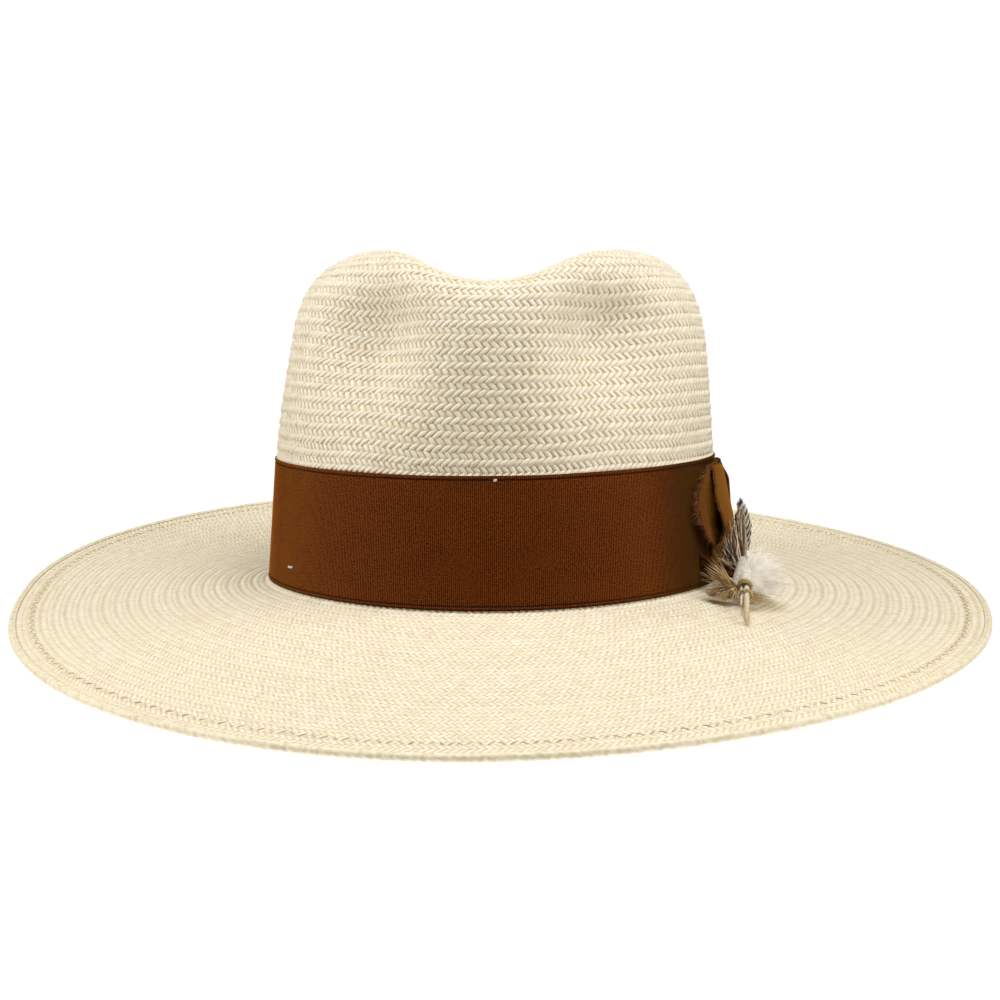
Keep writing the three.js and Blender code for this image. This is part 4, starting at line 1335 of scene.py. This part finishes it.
def keeper_sleeve():
    """The sleeve that the thread is wound on, open at both ends for the quills."""
    distance = np.linspace(KEEPER_FROM + 0.3, KEEPER_TO - 0.3, 12)
    ring = (KEEPER_BORE + 0.2) * round_spray(2 * math.pi * np.arange(32) / 32)
    sheet = along_spray(distance)[:, None] + ring
    return shell("keeper_sleeve_core", sheet, 0.35, [WHITE_THREAD], wrap=True)


def keeper_wrap():
    """Thread wound round the sleeve, golden at its mouth and white above."""
    def swell(t):
        return KEEPER_RADIUS - 0.3 + 0.05 * np.sin(23 * t)

    change = KEEPER_FROM + 1.6
    wraps = [
        {"paths": thread_wrap(KEEPER_FROM + 0.3, change, swell), "slot": np.array([1])},
        {"paths": thread_wrap(change + 0.6, KEEPER_TO - 0.3, swell)},
    ]
    for wrap in wraps:
        wrap.update(radii=WRAP_THREAD, sides=6)
    return tubes("keeper_thread_wrap", wraps, [WHITE_THREAD, GOLDEN_THREAD])


def keeper_binding():
    """A thick white binding that slants down across the keeper, wound with its own thread."""
    t = np.linspace(0, 1, 900)
    core = bend([(98.6, -46.6, 11.2)], [(97.0, -53.0, 5.6)], [(95.2, -58.0, 0.0)], len(t))[0]
    along = unit(np.gradient(core, axis=0))
    side = unit(np.cross(along, np.array([0.0, 0.3, 1.0])))
    rise = np.cross(side, along)
    turn = 2 * math.pi * 26 * t
    radius = 1.35 + 0.2 * np.sin(math.pi * t)
    wound = core + radius[:, None] * (np.cos(turn)[:, None] * side + np.sin(turn)[:, None] * rise)
    return tubes("keeper_white_binding", [
        {"paths": core[None, ::30], "radii": 1.2, "sides": 12},
        {"paths": wound[None], "radii": 0.32, "sides": 6},
    ], [WHITE_THREAD])


def golden_loops():
    """Golden thread tied round the mouth of the keeper and looped round the quill."""
    turn = np.linspace(0, 2 * math.pi * 0.97, 30)
    rings = [
        along_spray(KEEPER_FROM - distance) + radius * round_spray(turn)
        for distance, radius in ((0.2, 2.7), (0.9, 2.4))
    ]
    for centre, width, height in (((99.2, -65.6, -1.2), 2.9, 2.7), ((99.9, -64.6, -0.7), 2.3, 2.2)):
        loop = np.stack([width * np.cos(turn), 0.5 * np.sin(2 * turn), height * np.sin(turn)], axis=-1)
        rings.append(centre + loop)
    return tubes("keeper_golden_thread", [{"paths": rings, "radii": 0.34, "sides": 6}], [GOLDEN_THREAD])


def keeper_tab_sheet():
    """The tab that ties the keeper to the bow: from the band out to the keeper."""
    v, u = np.meshgrid(np.linspace(0, 1, 12), np.linspace(0, 1, 20), indexing="ij")
    root = wall_point(64 * DEG, 7 + 7 * v, BAND_FACE + FIT_GAP + 0.1)
    end = along_spray((KEEPER_FROM + KEEPER_TO) / 2 + 5 * (v - 0.5))
    end[..., 0] -= KEEPER_RADIUS + FIT_GAP + 0.1
    return root + (end - root) * u[..., None]


place(keeper_sleeve(), "hat", "white_down", "quill_keeper")
place(keeper_wrap(), "hat", "white_down", "quill_keeper")
place(keeper_binding(), "hat", "white_down", "quill_keeper")
place(golden_loops(), "hat", "golden_down", "quill_keeper")
tab_sheet = keeper_tab_sheet()
tab = shell("keeper_tab_ribbon", tab_sheet, 0.8, [DARK_RIBBON], cloth=cloth_grid(tab_sheet))
place(tab, "hat", "band_ribbon", "keeper_tab")
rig.sheet(tab, flat=TAB_FLAT, held="folded", rests_on=["quill_keeper"], area=0.6 * math.prod(TAB_FLAT))


def strands(root, root_spread, tips, tip_spread, count, radius, lift, tints):
    """Loose strands from one place to a fan of tips, as a bundle for tubes()."""
    spot = rng.random(count) * (len(tips) - 1.001)
    k = spot.astype(int)
    part = (spot - k)[:, None]
    tips = np.array(tips)
    tip = tips[k] * (1 - part) + tips[k + 1] * part
    start = root + root_spread * rng.standard_normal((count, 3))
    reach = 0.45 + 0.6 * rng.random((count, 1)) ** 0.7
    end = start + (tip + tip_spread * rng.standard_normal((count, 3)) - start) * reach
    middle = (start + end) / 2 + lift * rng.standard_normal((count, 3))
    profile = np.array([1, 1, 0.95, 0.85, 0.7, 0.5, 0.25])
    return {
        "paths": bend(start, middle, end, len(profile)),
        "radii": radius * profile * (0.7 + 0.6 * rng.random((count, 1))),
        "slot": rng.integers(0, tints, count),
    }


GOLDEN_DOWN = [
    thread_material("tuft_gold", (0.84, 0.57, 0.19)),
    thread_material("tuft_cream", (0.94, 0.76, 0.46)),
    thread_material("tuft_olive", (0.42, 0.24, 0.05)),
    thread_material("tuft_brown", (0.13, 0.045, 0.012)),
]


def golden_tuft():
    """A small golden tuft on the brim, with threads that fan up over the bow."""
    low = [(85.5, -58, 1.2), (84.5, -61, -0.2), (86, -63, -1.6), (90, -64, -2.6), (94, -64, -2.8)]
    high = [(83.6, -60, 4.2), (84.6, -60, 8.5), (86.6, -60, 13.0)]
    tuft = strands((95.0, -58.5, 0.6), 0.7, low, 0.8, 460, 0.14, 0.6, len(GOLDEN_DOWN))
    fan = strands((95.5, -59, 1.6), 0.5, high, 1.0, 90, 0.13, 0.5, len(GOLDEN_DOWN))
    return tubes("golden_tuft_strands", [tuft, fan], GOLDEN_DOWN)


place(golden_tuft(), "hat", "golden_down", "golden_tuft")

# ------------------------------------------------------------------ feather spray
def quill_material():
    """Horn-coloured quill with a golden tip and a paler root."""
    material = principled("quill_horn", (0.5, 0.38, 0.2), 0.42)
    pattern = Pattern(material)
    _, towards_root, _ = pattern.split(pattern.body())
    streaks = pattern.grain((900, 120, 900)) - 0.5
    tone = streaks * 0.7 + towards_root * 28.0 + 2.4
    pattern.colours(tone, (0.0, (0.5, 0.33, 0.13)), (0.4, (0.66, 0.55, 0.38)), (0.85, (0.7, 0.62, 0.48)))
    return material


QUILL = quill_material()
QUILL_STATIONS = 90


def quill(name, offset, start, radius, twists):
    """A quill whose barbs were stripped off, with the twisted ridges of its shaft."""
    end = STOP_GAP + 0.6
    distance = np.linspace(start, end, QUILL_STATIONS)
    centre = along_spray(distance) + offset * SPRAY_SIDE
    tip = np.sqrt(np.clip((distance - start) / 3, 0.02, 1))
    foot = np.clip((end - distance) / 0.3 + 0.5, 0.5, 1)

    def ridges(station, phase):
        twisted = 2 * phase + twists * station / QUILL_STATIONS
        return -0.09 * radius * (1 - np.cos(2 * math.pi * twisted))

    return revolve(name, centre, radius * tip * foot, [QUILL], ridges)


def plume_knot():
    """Thread wound round the roots of the feathers."""
    def profile(t):
        return 2.5 * np.sin(math.pi * (0.16 + 0.72 * t)) ** 0.5

    path = thread_wrap(STOP_GAP + 1.0, KNOT_END - 0.3, profile)
    return tubes("plume_knot_thread", [{"paths": path, "radii": 0.32, "sides": 6}], [WHITE_THREAD])


def plume_core():
    """The solid core that the knot's thread is wound on."""
    share = np.linspace(0, 1, 24)
    centre = along_spray(np.linspace(STOP_GAP + 0.9, KNOT_END, 24))
    radius = 0.2 + 2.2 * np.sin(math.pi * (0.05 + 0.85 * share)) ** 0.6
    return revolve("plume_knot_core", centre, radius, [WHITE_THREAD])


place(quill("quill_long_shaft", 0.75, 0, 1.15, 16), "feather_spray", "quill", "quill_long")
place(quill("quill_short_shaft", -1.25, 13, 0.55, 10), "feather_spray", "quill", "quill_short")
place(plume_knot(), "feather_spray", "white_down", "plume_knot")
place(plume_core(), "feather_spray", "white_down", "plume_knot")

VANE_LEAN = 22 * DEG
VANE_BARBS = 150
VANE_DARK = thread_material("vane_black", (0.034, 0.018, 0.009))
VANE_PALE = thread_material("vane_white", (0.88, 0.8, 0.66))
VANE_BROWN = thread_material("vane_brown", (0.24, 0.11, 0.04))
VANE_CREAM = thread_material("vane_cream", (0.72, 0.54, 0.33))
BARB_TINTS = [VANE_BROWN, VANE_CREAM, VANE_DARK]


def feather(name, offset, end, half_width, curl, rise, bars, materials):
    """A shaft with close barbs on both sides. It curves by curl towards +X and by rise uphill, and
    bars is the length of one dark and pale pair."""
    start = KNOT_END + 0.5
    across = math.cos(VANE_LEAN) * SPRAY_RISE + math.sin(VANE_LEAN) * SPRAY_SIDE
    face = np.cross(SPRAY_AXIS, across)

    def shaft(share):
        bent = (share ** 2)[:, None] * (curl * SPRAY_SIDE + rise * SPRAY_RISE)
        return along_spray(start + (end - start) * share) + offset * SPRAY_SIDE + bent

    share = np.linspace(0.02, 0.97, VANE_BARBS)
    width = half_width * (0.3 + 0.7 * smooth(3 * share)) * np.sqrt(np.clip(1 - share ** 3, 0.05, 1))
    bundles = []
    t = np.linspace(0, 1, 9)
    for side in (-1, 1):
        jitter = 1 + 0.06 * rng.standard_normal(VANE_BARBS)
        out = (width * jitter)[:, None] * t ** 0.92
        forward = 0.95 * width[:, None] * t ** 1.25
        lift = 0.1 * rng.standard_normal((VANE_BARBS, 1)) * t + 0.2 * np.sin(math.pi * t)
        paths = shaft(share)[:, None] + side * out[..., None] * across
        paths = paths + forward[..., None] * SPRAY_AXIS + lift[..., None] * face
        astray = 0.25 * rng.standard_normal((VANE_BARBS, 1))
        distance = (end - start) * share[:, None] + 0.35 * out + astray
        dark = (distance / bars) % 1.0 < 0.5
        bundles.append({"paths": paths, "radii": 0.3 * (1 - 0.7 * t ** 2), "flat": 0.3, "lean": face,
                        "slot": dark.astype(int)})
    centre = shaft(np.linspace(-0.02, 0.98, 24))
    bundles.append({"paths": centre[None], "radii": np.linspace(0.5, 0.12, 24), "sides": 6,
                    "slot": np.array([2])})
    return tubes(name, bundles, materials)


def brown_down():
    """Brown and cream barbs bound in with the golden tuft: they fill the space up to the bow."""
    tips = [(89.5, -47, 6.5), (90, -45.5, 10), (91.5, -43, 15.5), (93.5, -39, 21), (95, -36, 24)]
    barbs = strands((97.2, -48, 7.6), 1.0, tips, 0.9, 640, 0.22, 0.6, len(BARB_TINTS))
    return tubes("brown_down_barbs", [barbs], BARB_TINTS)


def hackle_down():
    """Loose barbs beside the hackle feather, clear of the bow when the spray is drawn out."""
    tips = [(97.2, -34, 24.0), (98.0, -31, 27.0), (98.6, -28, 29.5)]
    barbs = strands((98.6, -46, 10.0), 0.6, tips, 0.5, 160, 0.2, 0.4, len(BARB_TINTS))
    return tubes("hackle_down_barbs", [barbs], BARB_TINTS)


barred = feather("barred_feather_vane", 1.2, 87, 4.7, -4.2, 6.4, 3.6, [VANE_PALE, VANE_DARK, QUILL])
hackle = feather("hackle_feather_vane", -1.0, 79, 4.8, -2.6, 5.6, 2.6, [VANE_BROWN, VANE_CREAM, QUILL])
place(barred, "feather_spray", "barred_vane", "barred_feather")
place(hackle, "feather_spray", "brown_vane", "hackle_feather")
place(brown_down(), "hat", "golden_down", "golden_tuft")
place(hackle_down(), "feather_spray", "brown_vane", "hackle_feather")


def down_material(name, colour, roughness, **settings):
    """Down, a little duller in places."""
    duller = tuple(0.8 * c for c in colour)
    return mottled(name, colour, roughness, 300, (0.35, duller), (0.6, colour), **settings)


# Painted light: the white and cream down glow faintly, standing in for light that goes through thin down and out
# again, so that it hardly shades itself.
DOWN_PAINTED_GLOW = {"emission_color": (1.0, 0.94, 0.85), "emission_strength": 0.13}
WHITE_DOWN = [
    down_material("down_white", (0.97, 0.93, 0.86), 0.85, sheen_weight=0.2, **DOWN_PAINTED_GLOW),
    down_material("down_cream", (0.95, 0.89, 0.78), 0.85, **DOWN_PAINTED_GLOW),
    # Painted shade: grey down, for a few strands among the white.
    down_material("down_shade", (0.55, 0.45, 0.33), 0.85),
    down_material("down_golden", (0.62, 0.45, 0.2), 0.7),
]
SHADE, GOLDEN = 2, 3            # places in WHITE_DOWN


def marabou():
    """Soft white down that fans out of the knot, with a few golden wisps below it."""
    root = np.array([99.0, -49.5, 3.4])
    tips = [
        (101.5, -47, 14.5), (105, -43, 14.0), (108.8, -40, 12.6), (112.6, -42, 10.6), (115.2, -46, 8.0),
        (116.6, -50, 5.0), (116.4, -54, 2.0), (113.6, -58, -1.6), (110.0, -60, -2.6),
    ]
    low = [(112.5, -61, -3.0), (109, -63, -4.2), (104, -65, -4.6)]
    soft = strands(root, 0.8, tips, 1.5, 950, 0.085, 1.0, 2)
    # Painted shade: a few grey strands among the white down.
    shade_strands = strands(root, 0.9, tips, 1.2, 60, 0.07, 1.2, 1)
    shade_strands["slot"] = SHADE
    wisps = strands((99.5, -57.5, -0.6), 0.4, low, 0.9, 70, 0.1, 0.6, 1)
    wisps["slot"] = GOLDEN
    return tubes("marabou_strands", [soft, shade_strands, wisps], WHITE_DOWN)


place(marabou(), "feather_spray", "white_down", "marabou_fluff")

# ------------------------------------------------------------------ sweatband
SWEAT_BOTTOM = 3.4
SWEAT_WIDTH = 36
SWEAT_THICKNESS = 1.0
SWEAT_OUTER = -STRAW_THICKNESS - FIT_GAP
SWEAT_INNER = SWEAT_OUTER - SWEAT_THICKNESS
REED_OUT = -3.25
REED_HEIGHT = 1.1
REED_RADIUS = 0.8
TAPE_THICKNESS = 0.35
SEAM_STITCHES = 150
# flat cuts, in metres
LEATHER_LENGTH = 0.585
REED_LENGTH = 0.575
TAPE_WIDTH = 0.0105
TAPE_OPEN_WIDTH = 0.0065        # the part of the tape that isn't folded on itself
REAR_LOOP_FLAT = (0.0105, 0.0145)


def leather_material():
    """Tan leather with a fine grain over broad clouds."""
    material = principled("roan_leather", (0.42, 0.235, 0.11), 0.48, specular_ior_level=0.45)
    pattern = Pattern(material)
    grain = pattern.grain(1100, detail=4.0)
    pattern.colours(pattern.grain(40) * 0.6 + grain * 0.4,
                    (0.25, (0.3, 0.15, 0.065)), (0.75, (0.5, 0.3, 0.15)))
    pattern.bump(grain, 0.35, 0.15)
    return material


def sweatband_sheet():
    """The leather, with a line pressed into it near its upper edge."""
    heights = np.concatenate([
        np.linspace(0, 33, 22), [33.6, 33.9, 34.1, 34.3, 34.5, 34.8, 35.3, SWEAT_WIDTH],
    ])
    angle, _ = even_angles(360)
    middle = SWEAT_OUTER - SWEAT_THICKNESS / 2
    sheet = wall_point(angle[None, :], SWEAT_BOTTOM + heights[:, None], middle)
    pressed_line = -0.28 * np.exp(-((heights - 34.2) / 0.3) ** 2)[:, None]
    return shell("sweatband_leather", sheet, SWEAT_THICKNESS, [leather_material()], inner=pressed_line,
                 wrap=True)


def reed_and_tape():
    """The reed along the leather's lower edge, and the tape folded round it."""
    angle, _ = even_angles(480)
    centre = wall_point(angle, REED_HEIGHT, REED_OUT)
    clear = mottled("reed_plastic", (0.75, 0.72, 0.64), 0.25, 200,
                    (0.3, (0.66, 0.62, 0.53)), (0.7, (0.8, 0.77, 0.7)))
    reed = ring_tube("reed_rod", centre, oval_normals(angle), REED_RADIUS, 12, [clear])
    turn = np.linspace(125, 415, 24)[:, None, None] * DEG
    radius = REED_RADIUS + FIT_GAP + TAPE_THICKNESS / 2
    section = np.cos(turn) * oval_normals(angle) + np.sin(turn) * np.array([0.0, 0.0, 1.0])
    woven = thread_material("tape_cotton", (0.62, 0.54, 0.4))
    tape = shell("reed_tape_fold", centre + radius * section, TAPE_THICKNESS, [woven], wrap=True)
    return reed, tape


def sweatband_seam():
    """Single stitches along the lower edge of the leather, seen from inside the hat."""
    angle, _ = even_angles(SEAM_STITCHES)
    half = 2 * math.pi / SEAM_STITCHES * 0.36
    t = np.linspace(-1, 1, 8)
    out = SWEAT_INNER + 0.12 - 0.42 * (1 - t ** 4)
    paths = wall_point(angle[:, None] + half * t, SWEAT_BOTTOM + 1.6, out)
    return tubes("sweatband_seam_stitches", [{"paths": paths, "radii": 0.22, "sides": 6}],
                 [thread_material("seam_thread", (0.62, 0.5, 0.3))])


leather = place(sweatband_sheet(), "hat", "leather", "sweatband")
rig.sheet(leather, flat=(SWEAT_WIDTH * MM, LEATHER_LENGTH), held="stretched", rests_on=["straw_body"])
reed_rod, tape_fold = reed_and_tape()
place(reed_rod, "hat", "reed", "sweatband_reed")
place(tape_fold, "hat", "reed_tape", "reed_tape")
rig.sheet(tape_fold, flat=(TAPE_WIDTH, REED_LENGTH), held="folded", rests_on=["sweatband_reed"],
         area=TAPE_OPEN_WIDTH * REED_LENGTH)
place(sweatband_seam(), "hat", "straw_thread", "sweatband_stitching")

REAR_BOW_HEIGHT = 17


def rear_sheet(from_x, to_x, half_height, out, rows=14, columns=24):
    """A ribbon of the small bow inside the back of the hat, from one x to another."""
    v, u = np.meshgrid(np.linspace(-1, 1, rows), np.linspace(0, 1, columns), indexing="ij")
    angle = math.pi - (from_x + (to_x - from_x) * u) / HEAD_HALF_WIDTH
    return wall_point(angle, REAR_BOW_HEIGHT + half_height(u) * v, SWEAT_INNER - out(u, v))


def loop_height(u):
    return 2 + 2.6 * smooth(1.4 * u) * (1 - 0.35 * u ** 4)


def puff(u, v):
    return 0.9 + 0.25 * np.cos(3 * v) * np.sin(math.pi * u)


REAR_LOOPS = (
    ("left_loop", rear_sheet(0.8, 15, loop_height, puff)),
    ("right_loop", rear_sheet(-15, -0.8, lambda u: loop_height(1 - u), puff)),
)
for name, sheet in REAR_LOOPS:
    loop = shell(f"rear_bow_{name}_ribbon", sheet, 1.0, [DARK_RIBBON], cloth=cloth_grid(sheet))
    place(loop, "hat", "band_ribbon", f"rear_bow_{name}")
    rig.sheet(loop, flat=REAR_LOOP_FLAT, held="folded", rests_on=["sweatband"])
rear_knot = rear_sheet(-2.4, 2.4, lambda u: 2.8, lambda u, v: 2.1 + 0.15 * np.cos(5 * math.pi * u))
rear_strap = shell("rear_bow_knot_strap", rear_knot, 0.8, [DARK_RIBBON], cloth=cloth_grid(rear_knot))
place(rear_strap, "hat", "band_ribbon", "rear_bow_knot")

visual_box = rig.bounds()
with open("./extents.json", "w") as report:
    json.dump({"cad": [list(corner) for corner in cad_box], "visual": [list(corner) for corner in visual_box]}, report)
